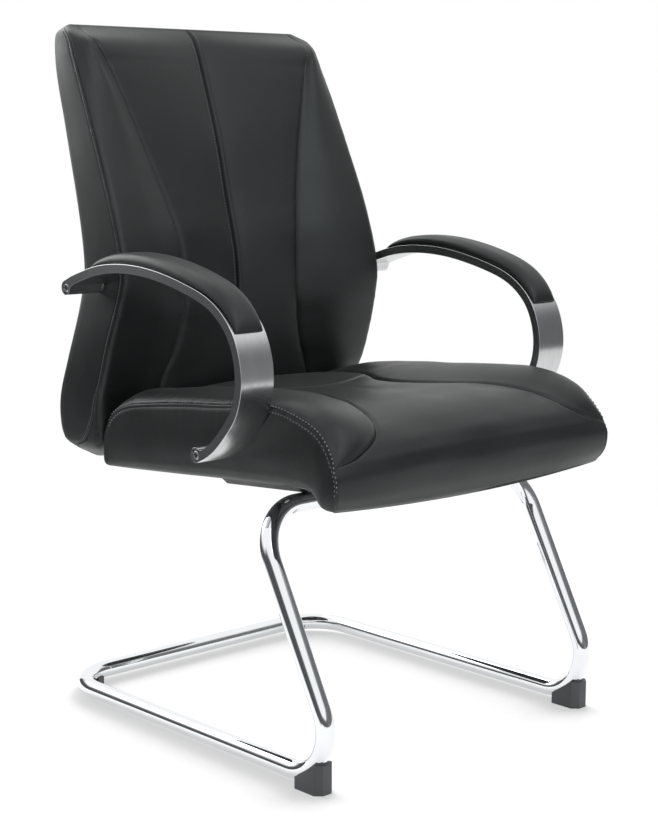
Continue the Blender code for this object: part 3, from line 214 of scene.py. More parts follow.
CARD_FACET = 3.0
for card_name, card_rows in (
        ("low_cards", [
            (-180, 1.9, 0.01, 1.9, 0.9, 0.14), (-102, 1.9, 0.01, 1.9, 1.1, 0.14),
            (-84, 2.0, 0.01, 2.0, 1.8, 0.16), (-66, 2.1, 0.01, 2.1, 1.5, 0.20),
            (-48, 2.2, 0.01, 2.2, 0.7, 0.25), (-16, 2.3, 0.01, 2.3, 0.55, 0.30),
            (22, 2.4, 0.01, 2.4, 2.6, 0.45), (66, 2.4, 0.01, 2.4, 2.6, 0.45),
            (82, 2.4, 0.01, 2.4, 2.0, 0.45), (94, 2.3, 0.01, 2.3, 0.7, 0.45),
            (106, 2.2, 0.01, 2.2, 0.2, 0.45)]),
        ("floor_card", [(-180, 1.9, 0.012, 0.7, 0.012, 0.22), (-62, 2.2, 0.012, 0.8, 0.012, 0.30)])):
    card_turns, near_by, near_height, far_by, far_height, card_light = np.array(card_rows, float).T
    turns = np.arange(card_turns[0], card_turns[-1] + 1, CARD_FACET)
    count = len(turns)
    edges = []
    for distance, height in ((near_by, near_height), (far_by, far_height)):
        out_by = np.interp(turns, card_turns, distance)
        edges += list(zip(out_by * np.sin(np.radians(turns)), -out_by * np.cos(np.radians(turns)),
                          np.interp(turns, card_turns, height)))
    card_mesh = bpy.data.meshes.new(card_name)
    card_mesh.from_pydata(edges, [], [
        (corner, corner + 1, count + corner + 1, count + corner) for corner in range(count - 1)])
    chart = card_mesh.uv_layers.new(name="lightness_and_height")
    for loop, spot in zip(card_mesh.loops, chart.data):
        light_here = np.interp(turns[loop.vertex_index % count], card_turns, card_light)
        spot.uv = (light_here, 1.0 if loop.vertex_index >= count else 0.0)
    card_mesh.materials.append(card)
    cards = in_scene(card_name, card_mesh)
    cards.visible_camera = False
    cards.visible_diffuse = False
    cards.visible_shadow = False


# Sled frame: one 25 mm steel tube, bent cold at six corners and closed by a butt weld inside the
# crossbar, ground flush, then nickel and chrome plated. It carries everything else.
TUBE_RADIUS = 0.0125
FRAME_HALF_WIDTH = 0.250
FRAME_HALF_LENGTH = 0.3058
CROSSBAR_Y = -0.1334
FLOOR_CORNER_RADIUS = 0.075
FRONT_BEND_RADIUS = 0.062
TOP_BEND_RADIUS = 0.070

tube_low, tube_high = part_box("frame_tube")
frame_middle = tube_high.y - TUBE_RADIUS - FRAME_HALF_LENGTH
rail_height = tube_low.z + TUBE_RADIUS
crossbar = Vector((0.0, frame_middle + CROSSBAR_Y, tube_high.z - TUBE_RADIUS))


def bend_points(before, corner, after, radius, steps=28):
    """Give the arc that rounds a corner between two straight runs."""
    back = (before - corner).normalized()
    on = (after - corner).normalized()
    half = math.acos(back.dot(on)) / 2
    centre = corner + (back + on).normalized() * radius / math.sin(half)
    start = corner + back * radius / math.tan(half) - centre
    end = corner + on * radius / math.tan(half) - centre
    sweep = start.angle(end)
    return [
        centre + (start * math.sin((1 - step / steps) * sweep) + end * math.sin(step / steps * sweep))
        / math.sin(sweep) for step in range(steps + 1)]


def frame_corners(side):
    """Give one side's corners from the crossbar to the rear bar, side being -1 or 1."""
    x = side * FRAME_HALF_WIDTH
    return [
        Vector((x, crossbar.y, crossbar.z)),
        Vector((x, frame_middle - FRAME_HALF_LENGTH, rail_height)),
        Vector((x, frame_middle + FRAME_HALF_LENGTH, rail_height))]


def worked_mesh(holder):
    """Give an object's mesh as its modifiers leave it, and take the object away."""
    shape = holder.evaluated_get(bpy.context.evaluated_depsgraph_get())
    mesh = bpy.data.meshes.new_from_object(shape)
    bpy.data.objects.remove(holder)
    return mesh


def tube_loop(name, points, radius):
    """Make a closed loop of round tube along points."""
    curve = bpy.data.curves.new(name, "CURVE")
    curve.dimensions = "3D"
    curve.bevel_depth = radius
    curve.bevel_resolution = 30
    spline = curve.splines.new("POLY")
    spline.points.add(len(points) - 1)
    for control, point in zip(spline.points, points):
        control.co = (*point, 1.0)
    spline.use_cyclic_u = True
    mesh = worked_mesh(in_scene(name, curve))
    form = bmesh.new()
    form.from_mesh(mesh)
    bmesh.ops.remove_doubles(form, verts=form.verts, dist=0.00001)
    bmesh.ops.recalc_face_normals(form, faces=form.faces)
    form.to_mesh(mesh)
    form.free()
    mesh.shade_smooth()
    return mesh


def add_piece(name, mesh, material, slot, *replaced):
    """Put a finished mesh on the chair, in the place of the solids that it stands for."""
    mesh.materials.clear()
    mesh.materials.append(material)
    piece = in_scene(name, mesh)
    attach(piece, "root")
    if replaced:
        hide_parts(*replaced)
    return piece


def mottled(tree, pattern, tones, roughness, spread=(0.3, 0.7)):
    """Give a finish whose tone and roughness drift together with a pattern."""
    tone = add_node(tree, "ShaderNodeMix", {
        "Factor": pattern, "A": linear(tones[0]), "B": linear(tones[1])}, data_type="RGBA")
    rough = add_node(tree, "ShaderNodeMapRange", {
        "Value": pattern, "From Min": spread[0], "From Max": spread[1],
        "To Min": roughness[0], "To Max": roughness[1]})
    return {"Base Color": tone.outputs["Result"], "Roughness": rough.outputs["Result"]}


# Bright chrome plate: a cool mirror, with the faint haze that hands and floor dust leave on it.
chrome, tree = new_material("bright_chrome_plate")
place = add_node(tree, "ShaderNodeTexCoord").outputs["Object"]
haze = add_node(tree, "ShaderNodeTexNoise", {
    "Vector": place, "Scale": 1 / 0.035, "Detail": 4.0, "Roughness": 0.6})
ripple = add_node(tree, "ShaderNodeTexNoise", {
    "Vector": place, "Scale": 1 / 0.012, "Detail": 1.0})
ripple_bump = add_node(tree, "ShaderNodeBump", {
    "Height": ripple.outputs["Fac"], "Strength": 0.06, "Distance": 0.0003})
mirror = add_node(tree, "ShaderNodeBsdfPrincipled", {
    **mottled(tree, haze.outputs["Fac"], ("#f6f8f9", "#eceff2"), (0.035, 0.085), (0.35, 0.75)),
    "Metallic": 1.0, "Normal": ripple_bump.outputs["Normal"]})
finish_material(tree, mirror.outputs["BSDF"])

corners = frame_corners(-1) + frame_corners(1)[::-1]
radii = [TOP_BEND_RADIUS, FRONT_BEND_RADIUS, FLOOR_CORNER_RADIUS]
radii = radii + radii[::-1]
tube_path = []
for index, corner in enumerate(corners):
    tube_path += bend_points(corners[index - 1], corner, corners[(index + 1) % len(corners)], radii[index])
add_piece("sled_tube", tube_loop("sled_tube", tube_path, TUBE_RADIUS), chrome, "chrome_tube", "frame_tube")


# Floor saddles: four moulded nylon clips, dark grey with a fine spark grain, pressed up onto the
# tube. The front pair hold the bends clear of the floor, and the rear pair sit under the corners.
SHARP_TURN = math.radians(35)


def eased_copy(name, node, width, trim=None):
    """Copy a solid's mesh, trim it, and ease its sharp edges, as a tool or a tumbler does."""
    holder = in_scene(name, nodes[node].data.copy())
    form = bmesh.new()
    form.from_mesh(holder.data)
    bmesh.ops.remove_doubles(form, verts=form.verts, dist=0.00001)
    bmesh.ops.dissolve_limit(form, angle_limit=math.radians(1.0), verts=form.verts, edges=form.edges)
    for vert in form.verts if trim else ():
        vert.co = trim(vert.co)
    form.to_mesh(holder.data)
    form.free()
    ease = holder.modifiers.new("eased_edges", "BEVEL")
    ease.width = width
    ease.segments = 3
    ease.limit_method = "ANGLE"
    ease.angle_limit = SHARP_TURN
    ease.use_clamp_overlap = True
    mesh = worked_mesh(holder)
    mesh.name = name
    mesh.shade_smooth()
    mesh.set_sharp_from_angle(angle=SHARP_TURN)
    return mesh


def add_eased(name, node, width, material, slot, trim=None):
    """Put a solid's eased copy in the solid's own place."""
    add_piece(name, eased_copy(name, node, width, trim), material, slot, node)


# Moulded nylon: dark grey, dull, with a spark-eroded grain about 0.4 mm across.
nylon, tree = new_material("moulded_nylon")
place = add_node(tree, "ShaderNodeTexCoord").outputs["Object"]
spark = add_node(tree, "ShaderNodeTexNoise", {
    "Vector": place, "Scale": 1 / 0.0008, "Detail": 2.0})
scuff = add_node(tree, "ShaderNodeTexNoise", {
    "Vector": place, "Scale": 1 / 0.018, "Detail": 5.0, "Roughness": 0.65})
spark_bump = add_node(tree, "ShaderNodeBump", {
    "Height": spark.outputs["Fac"], "Strength": 0.35, "Distance": 0.0002})
moulding = add_node(tree, "ShaderNodeBsdfPrincipled", {
    **mottled(tree, scuff.outputs["Fac"], ("#46484b", "#585a5d"), (0.42, 0.58)), "IOR": 1.53,
    "Normal": spark_bump.outputs["Normal"]})
finish_material(tree, moulding.outputs["BSDF"])

SADDLE_EASE = 0.0009
REAR_SADDLE_TURN = math.radians(29)
REAR_SADDLE_INNER = 0.0130
REAR_SADDLE_OUTER = 0.0115
REAR_SADDLE_END = 0.15


def rear_saddle_trim(side):
    """Give a move that trims a rear saddle's lips in under the tube and shortens its outer end."""
    low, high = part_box("rear_foot_left" if side > 0 else "rear_foot_right")
    middle = (low + high) / 2
    outward = Vector((side * math.sin(REAR_SADDLE_TURN), math.cos(REAR_SADDLE_TURN), 0.0))
    along = Vector((side * math.cos(REAR_SADDLE_TURN), -math.sin(REAR_SADDLE_TURN), 0.0))

    def trim(spot):
        off = spot - middle
        out_by = min(max(off.dot(outward), -REAR_SADDLE_INNER), REAR_SADDLE_OUTER)
        along_by = off.dot(along)
        along_by = along_by * REAR_SADDLE_END if along_by > 0 else along_by
        return middle + outward * out_by + along * along_by + Vector((0.0, 0.0, off.z))

    return trim


for foot, trim in (
        ("front_foot_right", None), ("front_foot_left", None),
        ("rear_foot_right", rear_saddle_trim(-1)), ("rear_foot_left", rear_saddle_trim(1))):
    add_eased(foot + "_saddle", foot, SADDLE_EASE, nylon, "foot_plastic", trim)


# Mounting tray: a shallow dish pressed from 3 mm steel and welded to the crossbar, with four
# zinc-plated bolts up through its rim into the seat board. It is powder coated satin black.
powder, tree = new_material("black_powder_coat")
place = add_node(tree, "ShaderNodeTexCoord").outputs["Object"]
orange_peel = add_node(tree, "ShaderNodeTexNoise", {
    "Vector": place, "Scale": 1 / 0.0016, "Detail": 2.0})
dust = add_node(tree, "ShaderNodeTexNoise", {
    "Vector": place, "Scale": 1 / 0.03, "Detail": 5.0})
peel_bump = add_node(tree, "ShaderNodeBump", {
    "Height": orange_peel.outputs["Fac"], "Strength": 0.25, "Distance": 0.0002})
coat = add_node(tree, "ShaderNodeBsdfPrincipled", {
    **mottled(tree, dust.outputs["Fac"], ("#1b1c1d", "#27282a"), (0.38, 0.52)),
    "Normal": peel_bump.outputs["Normal"]})
finish_material(tree, coat.outputs["BSDF"])

# Zinc plate: bright, slightly blue and cloudy, with the dull patches that passivation leaves.
zinc, tree = new_material("clear_zinc_plate")
place = add_node(tree, "ShaderNodeTexCoord").outputs["Object"]
cloud = add_node(tree, "ShaderNodeTexNoise", {
    "Vector": place, "Scale": 1 / 0.004, "Detail": 4.0})
plating = add_node(tree, "ShaderNodeBsdfPrincipled", {
    **mottled(tree, cloud.outputs["Fac"], ("#b9bcc0", "#a3a5a4"), (0.22, 0.40)), "Metallic": 1.0})
finish_material(tree, plating.outputs["BSDF"])

TRAY_EASE = 0.0012
BOLT_EASE = 0.0004
add_eased("pressed_tray", "seat_tray", TRAY_EASE, powder, "black_steel")
for bolt in sorted(node for node in nodes if node.startswith("plate_bolt")):
    add_eased(bolt + "_turned", bolt, BOLT_EASE, zinc, "zinc_steel")


# Boards: the seat board and the bent back board are hot-pressed birch plywood, unfinished because
# foam and leather cover them. Black non-woven lining is stapled under the seat board.
birch, tree = new_material("raw_birch_plywood")
place = add_node(tree, "ShaderNodeTexCoord").outputs["Object"]
along_grain = add_node(tree, "ShaderNodeMapping", {
    "Vector": place, "Scale": (1 / 0.003, 1 / 0.06, 1 / 0.003)})
grain = add_node(tree, "ShaderNodeTexNoise", {
    "Vector": along_grain.outputs["Vector"], "Scale": 1.0, "Detail": 5.0})
birch_tone = add_node(tree, "ShaderNodeMix", {
    "Factor": grain.outputs["Fac"], "A": linear("#d9bd8f"), "B": linear("#b9935f")}, data_type="RGBA")
grain_bump = add_node(tree, "ShaderNodeBump", {
    "Height": grain.outputs["Fac"], "Strength": 0.3, "Distance": 0.0003})
timber = add_node(tree, "ShaderNodeBsdfPrincipled", {
    "Base Color": birch_tone.outputs["Result"], "Roughness": 0.68, "IOR": 1.5,
    "Normal": grain_bump.outputs["Normal"]})
finish_material(tree, timber.outputs["BSDF"])

# Non-woven lining: spun fibres pressed with a 1.2 mm dot pattern, flat black and slightly hairy.
lining, tree = new_material("spunbond_lining")
place = add_node(tree, "ShaderNodeTexCoord").outputs["Object"]
dots = add_node(tree, "ShaderNodeTexVoronoi", {
    "Vector": place, "Scale": 1 / 0.0012, "Randomness": 0.15})
hairs = add_node(tree, "ShaderNodeTexNoise", {
    "Vector": place, "Scale": 1 / 0.0025, "Detail": 6.0, "Distortion": 1.5})
lining_tone = add_node(tree, "ShaderNodeMix", {
    "Factor": hairs.outputs["Fac"], "A": linear("#141415"), "B": linear("#222324")}, data_type="RGBA")
dot_bump = add_node(tree, "ShaderNodeBump", {
    "Height": dots.outputs["Distance"], "Strength": 0.5, "Distance": 0.0002})
felt = add_node(tree, "ShaderNodeBsdfPrincipled", {
    "Base Color": lining_tone.outputs["Result"], "Roughness": 0.92, "Sheen Weight": 0.2,
    "Normal": dot_bump.outputs["Normal"]})
finish_material(tree, felt.outputs["BSDF"])

for board in ("seat_pan", "back_board"):
    nodes[board].material_slots[0].material = birch
nodes["seat_dust_cover"].material_slots[0].material = lining
for steel in sorted(node for node in nodes if "bracket" in node or "anchor" in node):
    nodes[steel].material_slots[0].material = zinc if "screw" in steel else powder


# Seat cushion: cut foam on the seat board under a cover of smooth black hide. The cover has a front
# and a rear middle panel, a raised bolster down each side and plain side panels. Its seams are sewn
# inside out, and the side seams are turned down and topstitched 6.5 mm below. It is stapled under.
SEAT_PITCH = math.radians(4.2)
LINING_HEIGHT = 0.0343
SEAT_SIDE_CROWN = 0.0012
SEAT_UNDER_INSET = 0.009
SEAT_EDGE_ROUND = 0.006
SEAT_NOSE_START = -0.092
SEAT_LIP_SAG = 0.0070
TOPSTITCH_OFFSET = 0.0065
SEAM_WIDTHS = (0.0007, 0.0016, 0.0030, 0.0050, 0.0065, 0.0080, 0.0110)
SEAM_ROOM = 0.045
FOAM_PRESSURE = 3.0
SWELL_STEPS = 20
SWELL_LIMIT = 0.004
SEAT_ROW_STEP = 0.0030
CROSS_SEAM_BOW = 0.045
CROSS_SEAM_BLEND = 0.105
CROSS_SEAM_DEPTH = 0.0024
SEAT_BOLSTER_SEAM_DEPTH = 0.0026
NARROW_BOLSTER = 0.03
SEAT_SLACK = 0.0006
PUCKER_SPACING = 0.0075
PUCKER_REACH = 0.010

# Each station holds the side seam's (x, y, z), the middle's (y, z), the bolster's rise, the bolster
# seam's distance from the middle, the underside's y and how far the lip hangs below the board.
SEAT_STATIONS = np.array([
    (0.246, 0.337, 0.023, 0.322, 0.023, 0.0000, 0.110, 0.330, 0.0),
    (0.247, 0.335, 0.048, 0.328, 0.055, 0.0020, 0.118, 0.322, 0.0),
    (0.248, 0.325, 0.072, 0.326, 0.088, 0.0040, 0.126, 0.308, 0.0),
    (0.249, 0.304, 0.093, 0.314, 0.109, 0.0080, 0.132, 0.286, 0.0),
    (0.250, 0.272, 0.106, 0.285, 0.118, 0.0110, 0.140, 0.256, 0.0),
    (0.250, 0.222, 0.114, 0.225, 0.121, 0.0120, 0.142, 0.212, 0.0),
    (0.250, 0.172, 0.1205, 0.173, 0.123, 0.0120, 0.116, 0.166, 0.0),
    (0.249, 0.130, 0.125, 0.130, 0.124, 0.0120, 0.090, 0.128, 0.0),
    (0.248, 0.088, 0.1285, 0.088, 0.1255, 0.0120, 0.080, 0.088, 0.0),
    (0.248, 0.040, 0.1335, 0.040, 0.1270, 0.0120, 0.092, 0.044, 0.0),
    (0.2490, -0.010, 0.1375, -0.008, 0.1285, 0.0110, 0.113, -0.004, 0.0),
    (0.2505, -0.048, 0.1372, -0.048, 0.1300, 0.0120, 0.131, -0.044, 0.0),
    (0.2520, -0.088, 0.1290, -0.092, 0.1285, 0.0135, 0.148, -0.080, 0.0),
    (0.2535, -0.120, 0.1180, -0.130, 0.1205, 0.0120, 0.164, -0.104, 0.004),
    (0.2550, -0.139, 0.1020, -0.154, 0.1060, 0.0085, 0.186, -0.114, 0.010),
    (0.2575, -0.153, 0.0840, -0.167, 0.0870, 0.0040, 0.2290, -0.122, 0.015),
    (0.2581, -0.1565, 0.0780, -0.1693, 0.0807, 0.0000, 0.2545, -0.1244, 0.0166),
    (0.2590, -0.1625, 0.0630, -0.1720, 0.0650, 0.0000, 0.2560, -0.130, 0.020),
    (0.2565, -0.1605, 0.0400, -0.1690, 0.0400, 0.0000, 0.2535, -0.138, 0.0235),
    (0.2500, -0.1510, 0.0245, -0.1580, 0.0180, 0.0000, 0.2470, -0.146, 0.0255)])
SEAT_CROSS_SEAM = 7
SEAT_BOARD_HALF_WIDTH = 0.214
SEAT_BOARD_FRONT = 0.100
SEAT_BOARD_REAR = 0.315
SEAT_BOARD_CORNER = 0.035
SEAT_BOARD_TOP = 0.0478


def through(places, values):
    """Give a smooth function through values at places, level past both ends."""
    places = np.asarray(places, float)
    values = np.asarray(values, float)
    order = np.arange(len(places))
    before = np.maximum(order - 1, 0)
    after = np.minimum(order + 1, len(places) - 1)
    width = (places[after] - places[before]).reshape((-1,) + (1,) * (values.ndim - 1))
    slopes = (values[after] - values[before]) / width

    def value_at(place):
        place = np.clip(place, places[0], places[-1])
        start = np.clip(np.searchsorted(places, place, side="right") - 1, 0, len(places) - 2)
        span = places[start + 1] - places[start]
        share = (place - places[start]) / span
        if values.ndim > 1:
            span = np.expand_dims(span, -1)
            share = np.expand_dims(share, -1)
        rest = 1.0 - share
        return (values[start] * rest * rest * (1 + 2 * share)
                + values[start + 1] * share * share * (3 - 2 * share)
                + span * share * rest * (slopes[start] * rest - slopes[start + 1] * share))

    return value_at


def run_lengths(line):
    """Give the distance along a line at each of its points."""
    return np.concatenate([[0.0], np.cumsum(np.linalg.norm(np.diff(line, axis=0), axis=1))])


def spread_columns(line, marks, counts, fine):
    """Place columns along half a section, between the marked points on it.

    Fine says beside which of a zone's seams the columns crowd, so that a sewn seam can be shaped.
    It gives the points, each one's place counted in marks, and its distance past each mark."""
    runs = run_lengths(line)
    spots = []
    places = []
    for zone, count in enumerate(counts):
        start = runs[marks[zone]]
        length = runs[marks[zone + 1]] - start
        if fine[zone]:
            near = np.array(SEAM_WIDTHS) * min(1.0, length / SEAM_ROOM)
            left = near if fine[zone] in ("start", "both") else near[:0]
            right = near if fine[zone] in ("end", "both") else near[:0]
            low = left[-1] if len(left) else 0.0
            high = length - (right[-1] if len(right) else 0.0)
            middle = np.linspace(low, high, count + 1)
            inner = np.concatenate([
                left[:-1], middle if len(left) else middle[1:], (length - right[:-1])[::-1]])
            if not len(right):
                inner = inner[:-1]
            step = np.concatenate([[0.0], inner])
        else:
            step = np.linspace(0.0, length, count + 1)[:-1]
        spots.append(start + step)
        places.append(zone + step / length)
    spots.append([runs[marks[-1]]])
    places.append([float(len(counts))])
    spots = np.concatenate(spots)
    points = np.stack([np.interp(spots, runs, line[:, axis]) for axis in range(3)], axis=1)
    past = np.stack([spots - runs[mark] for mark in marks], axis=1)
    return points, np.concatenate(places), past


def section_rings(sections, counts, fine):
    """Turn half sections into whole rings, with each column's place and distances past the marks."""
    rings, places, pasts = [], [], []
    for line, marks in sections:
        half, place, past = spread_columns(line, marks, counts, fine)
        flipped = half[1:-1][::-1] * (-1, 1, 1)
        rings.append(np.concatenate([half, flipped]))
        places.append(place)
        pasts.append(past)
    return np.array(rings) + np.array(crossbar), np.array(places), np.array(pasts)


def outward_mesh(name, points, faces):
    """Make a mesh whose faces all look outwards."""
    mesh = bpy.data.meshes.new(name)
    mesh.from_pydata(points, [], faces)
    form = bmesh.new()
    form.from_mesh(mesh)
    bmesh.ops.recalc_face_normals(form, faces=form.faces)
    form.to_mesh(mesh)
    form.free()
    return mesh


def ring_mesh(name, rings):
    """Skin closed rings, with a flat face over each end."""
    rows, columns = rings.shape[:2]
    order = np.arange(rows * columns).reshape(rows, columns)
    after = np.roll(order, -1, axis=1)
    faces = np.stack([order[:-1], after[:-1], after[1:], order[1:]], axis=-1).reshape(-1, 4).tolist()
    faces += [order[0][::-1].tolist(), order[-1].tolist()]
    mesh = outward_mesh(name, rings.reshape(-1, 3).tolist(), faces)
    mesh.shade_smooth()
    return mesh


def mesh_points(mesh):
    """Give a mesh's points as rows."""
    spots = np.zeros(len(mesh.vertices) * 3)
    mesh.vertices.foreach_get("co", spots)
    return spots.reshape(-1, 3)


def grid_normals(rings):
    """Give the outward direction at each point of closed rings."""
    across = np.roll(rings, -1, axis=1) - np.roll(rings, 1, axis=1)
    along = np.gradient(rings, axis=0)
    normals = np.cross(across, along)
    normals /= np.maximum(np.linalg.norm(normals, axis=2, keepdims=True), 1e-12)
    centre = rings.reshape(-1, 3).mean(axis=0)
    if np.sum(normals * (rings - centre)) < 0:
        normals = -normals
    return normals


def cubic_sample(values, rows, columns):
    """Sample a grid between its points, smoothly, at fractional rows and columns."""
    sampled = 0.0
    first_row = np.floor(rows).astype(int)
    first_column = np.floor(columns).astype(int)
    for row_step in range(-1, 3):
        row_weight = cubic_weight(np.abs(rows - first_row - row_step))
        row = np.clip(first_row + row_step, 0, values.shape[0] - 1)
        for column_step in range(-1, 3):
            column_weight = cubic_weight(np.abs(columns - first_column - column_step))
            column = np.mod(first_column + column_step, values.shape[1])
            sampled = sampled + values[row, column] * (row_weight * column_weight)[..., None]
    return sampled


def cubic_weight(share):
    """Give a neighbour's weight at a distance of up to two steps."""
    near = 1.5 * share ** 3 - 2.5 * share ** 2 + 1
    far = -0.5 * share ** 3 + 2.5 * share ** 2 - 4 * share + 2
    return np.where(share < 1, near, np.where(share < 2, far, 0.0))


def swell(name, rings, sewn, slack):
    """Blow the cover up between its seams as cloth, and give how far each of its points moved."""
    cover = in_scene(name, ring_mesh(name, rings))
    group = cover.vertex_groups.new(name="sewn")
    group.add([int(place) for place in np.flatnonzero(sewn.reshape(-1))], 1.0, "REPLACE")
    cloth = cover.modifiers.new("cloth", "CLOTH")
    cloth.settings.quality = 6
    cloth.settings.mass = 0.4
    cloth.settings.tension_stiffness = 60
    cloth.settings.compression_stiffness = 60
    cloth.settings.shear_stiffness = 20
    cloth.settings.bending_stiffness = 1.5
    cloth.settings.use_pressure = True
    cloth.settings.uniform_pressure_force = FOAM_PRESSURE
    cloth.settings.vertex_group_mass = "sewn"
    cloth.settings.shrink_min = -slack
    cloth.settings.effector_weights.gravity = 0
    cloth.point_cache.frame_start = 1
    cloth.point_cache.frame_end = SWELL_STEPS
    for step in range(1, SWELL_STEPS + 1):
        bpy.context.scene.frame_set(step)
    shape = cover.evaluated_get(bpy.context.evaluated_depsgraph_get())
    moved = mesh_points(shape.data).reshape(rings.shape) - rings
    bpy.data.objects.remove(cover)
    bpy.context.scene.frame_set(1)
    size = np.linalg.norm(moved, axis=2, keepdims=True)
    return moved * np.minimum(1.0, SWELL_LIMIT / np.maximum(size, 1e-9))


station_runs = run_lengths(SEAT_STATIONS[:, 3:5] * 0.5 + SEAT_STATIONS[:, 1:3] * 0.5)
seat_at = through(station_runs, SEAT_STATIONS)
cross_run = station_runs[SEAT_CROSS_SEAM] - 0.005


def seat_half_section(run):
    """Give half of the seat's section at a run from its rear foot, and its marked points."""
    half, side_y, side_z, mid_y, mid_z, rise, seam, under_y, drop = seat_at(run)
    lip = drop / SEAT_STATIONS[-1][8]
    squareness = 2.0 + 4.0 * min(1.0, max(0.0, (SEAT_NOSE_START - mid_y) / 0.05))
    band = half - seam
    foot = min(0.012, band * 0.25) / band
    edge = min(0.009, band * 0.14) / band
    bolster = through([0.0, foot, 0.45, 0.72, 1 - edge, 1.0], [0.0, 0.25, 0.94, 1.14, 0.62, 0.0])
    x = np.concatenate([np.linspace(0.0, seam, 60), np.linspace(seam, half, 90)[1:]])
    y = mid_y + (side_y - mid_y) * (x / half) ** squareness
    z = mid_z + (side_z - mid_z) * (x / half) ** 2
    z = z + np.where(x > seam, rise * bolster((x - seam) / band), 0.0)
    top = np.stack([x, y, z], axis=1)
    under_z = (LINING_HEIGHT - under_y * math.sin(SEAT_PITCH)) / math.cos(SEAT_PITCH) - drop
    depth = math.hypot(side_y - under_y, side_z - under_z)
    share = np.linspace(0.0, 1.0, 60)[1:]
    roll = min(SEAT_EDGE_ROUND, depth * 0.45)
    into_roll = np.clip(1 - (1 - share) * depth / roll, 0.0, 1.0)
    side_x = half + SEAT_SIDE_CROWN * np.sin(math.pi * share)
    side_x = (side_x - (SEAT_UNDER_INSET - SEAT_EDGE_ROUND) * share ** 4
              - roll * (1 - np.sqrt(1 - into_roll ** 2)))
    side = np.stack([
        side_x, side_y + (under_y - side_y) * share, side_z + (under_z - side_z) * share], axis=1)
    under_x = np.linspace(side_x[-1], 0.0, 40)[1:]
    sag = SEAT_LIP_SAG * lip * (1 - (under_x / side_x[-1]) ** 2)
    under = np.stack([under_x, under_y - sag, under_z - sag], axis=1)
    line = np.concatenate([top, side, under])
    return line, (0, 59, len(top) - 1, len(top) + len(side) - 1, len(line) - 1)


def bolster_width(runs):
    """Give how wide the seat's bolsters are at each run."""
    stations = seat_at(runs)
    return stations[:, 0] - stations[:, 6]


def both_sides(places):
    """Give the columns' places round the whole ring, those of the right side past the left's."""
    last = places[:, -1:]
    return np.concatenate([places, 2 * last - places[:, 1:-1][:, ::-1]], axis=1)


def mirror_columns(values):
    """Repeat the values of half the columns for the other half of the ring."""
    return np.concatenate([values, values[:, 1:-1][:, ::-1]], axis=1)


seat_length = station_runs[-1]
coarse_runs = np.linspace(0.0, seat_length, 84)
coarse_counts = (10, 10, 9, 12)
coarse_rings, coarse_places, _past = section_rings(
    map(seat_half_section, coarse_runs), coarse_counts, (None,) * 4)
coarse_half = sum(coarse_counts) + 1
inner_seam = coarse_counts[0]
outer_seam = inner_seam + coarse_counts[1]
sewn = np.zeros((len(coarse_runs), coarse_half), bool)
sewn[:, [inner_seam, outer_seam]] = True
sewn[:, coarse_half - coarse_counts[3] - 1:] = True
sewn[np.argmin(np.abs(coarse_runs - cross_run)), :inner_seam] = True
sewn[bolster_width(coarse_runs) < NARROW_BOLSTER, inner_seam:outer_seam] = True
sewn[:2] = True
sewn[-2:] = True
seat_moved = swell("seat_cover", coarse_rings, mirror_columns(sewn), SEAT_SLACK)

near = np.array(SEAM_WIDTHS)
fine_runs = np.concatenate([
    np.arange(0.0, cross_run - near[-1] - 0.002, SEAT_ROW_STEP),
    cross_run - near[::-1], [cross_run], cross_run + near,
    np.arange(cross_run + near[-1] + SEAT_ROW_STEP, seat_length - 0.002, SEAT_ROW_STEP), [seat_length]])
seat_rings, seat_places, seat_past = section_rings(
    map(seat_half_section, fine_runs), (11, 12, 10, 10), ("end", "both", "start", None))

# The cross seam bows forward in the middle: towards the bolster seams, each column is read further back.
half_places = both_sides(seat_places)
out = np.minimum(half_places, 2 * 4 - half_places)
bow = CROSS_SEAM_BOW * np.where(out < 1, out ** 2.2, np.clip(2 - out, 0, 1) ** 1.5)
fade = np.clip(1 - np.abs(fine_runs - cross_run) / CROSS_SEAM_BLEND, 0, 1)[:, None]
fade = fade * fade * (3 - 2 * fade)
row_numbers = np.arange(len(fine_runs))
read_rows = np.interp(fine_runs[:, None] - bow * fade, fine_runs, row_numbers)
seat_rings = cubic_sample(seat_rings, read_rows, np.arange(seat_rings.shape[1], dtype=float))
runs_read = np.interp(read_rows, row_numbers, fine_runs)


def carry_swell(moved, coarse_rows, coarse_columns, at_runs, at_places, passes):
    """Bring the coarse cover's movement to the fine rings, its sharpest kinks eased out first."""
    for _pass in range(passes):
        moved = (moved + np.roll(moved, 1, axis=1) + np.roll(moved, -1, axis=1)) / 3
        moved = np.concatenate([moved[:1], (moved[:-2] + moved[1:-1] + moved[2:]) / 3, moved[-1:]])
    rows = np.interp(at_runs, coarse_rows, np.arange(len(coarse_rows)))
    whole = both_sides(coarse_columns)[0]
    around = np.concatenate([whole, [2 * coarse_columns[0, -1]]])
    columns = np.interp(at_places, around, np.arange(len(around)))
    return cubic_sample(moved, rows, columns)


seat_rings = seat_rings + carry_swell(seat_moved, coarse_runs, coarse_places, runs_read, half_places, 1)
past = mirror_columns(seat_past)
bolster_gap = np.abs(past[..., 1])
side_gap = past[..., 2]
cross_gap = np.abs(fine_runs - cross_run)[:, None]
ends = np.clip(np.minimum(fine_runs, seat_length - fine_runs) / 0.02, 0, 1)[:, None]


def sewn_groove(gap, depth, width=0.0014):
    """Give the dip of a seam sewn inside out: a sharp fold with soft shoulders."""
    return (-depth * 0.6 * np.exp(-np.abs(gap) / width) - depth * 0.4 * np.exp(-np.abs(gap) / (width * 3.5))
            + depth * 0.15 * np.exp(-((np.abs(gap) - 0.0075) / 0.0035) ** 2))


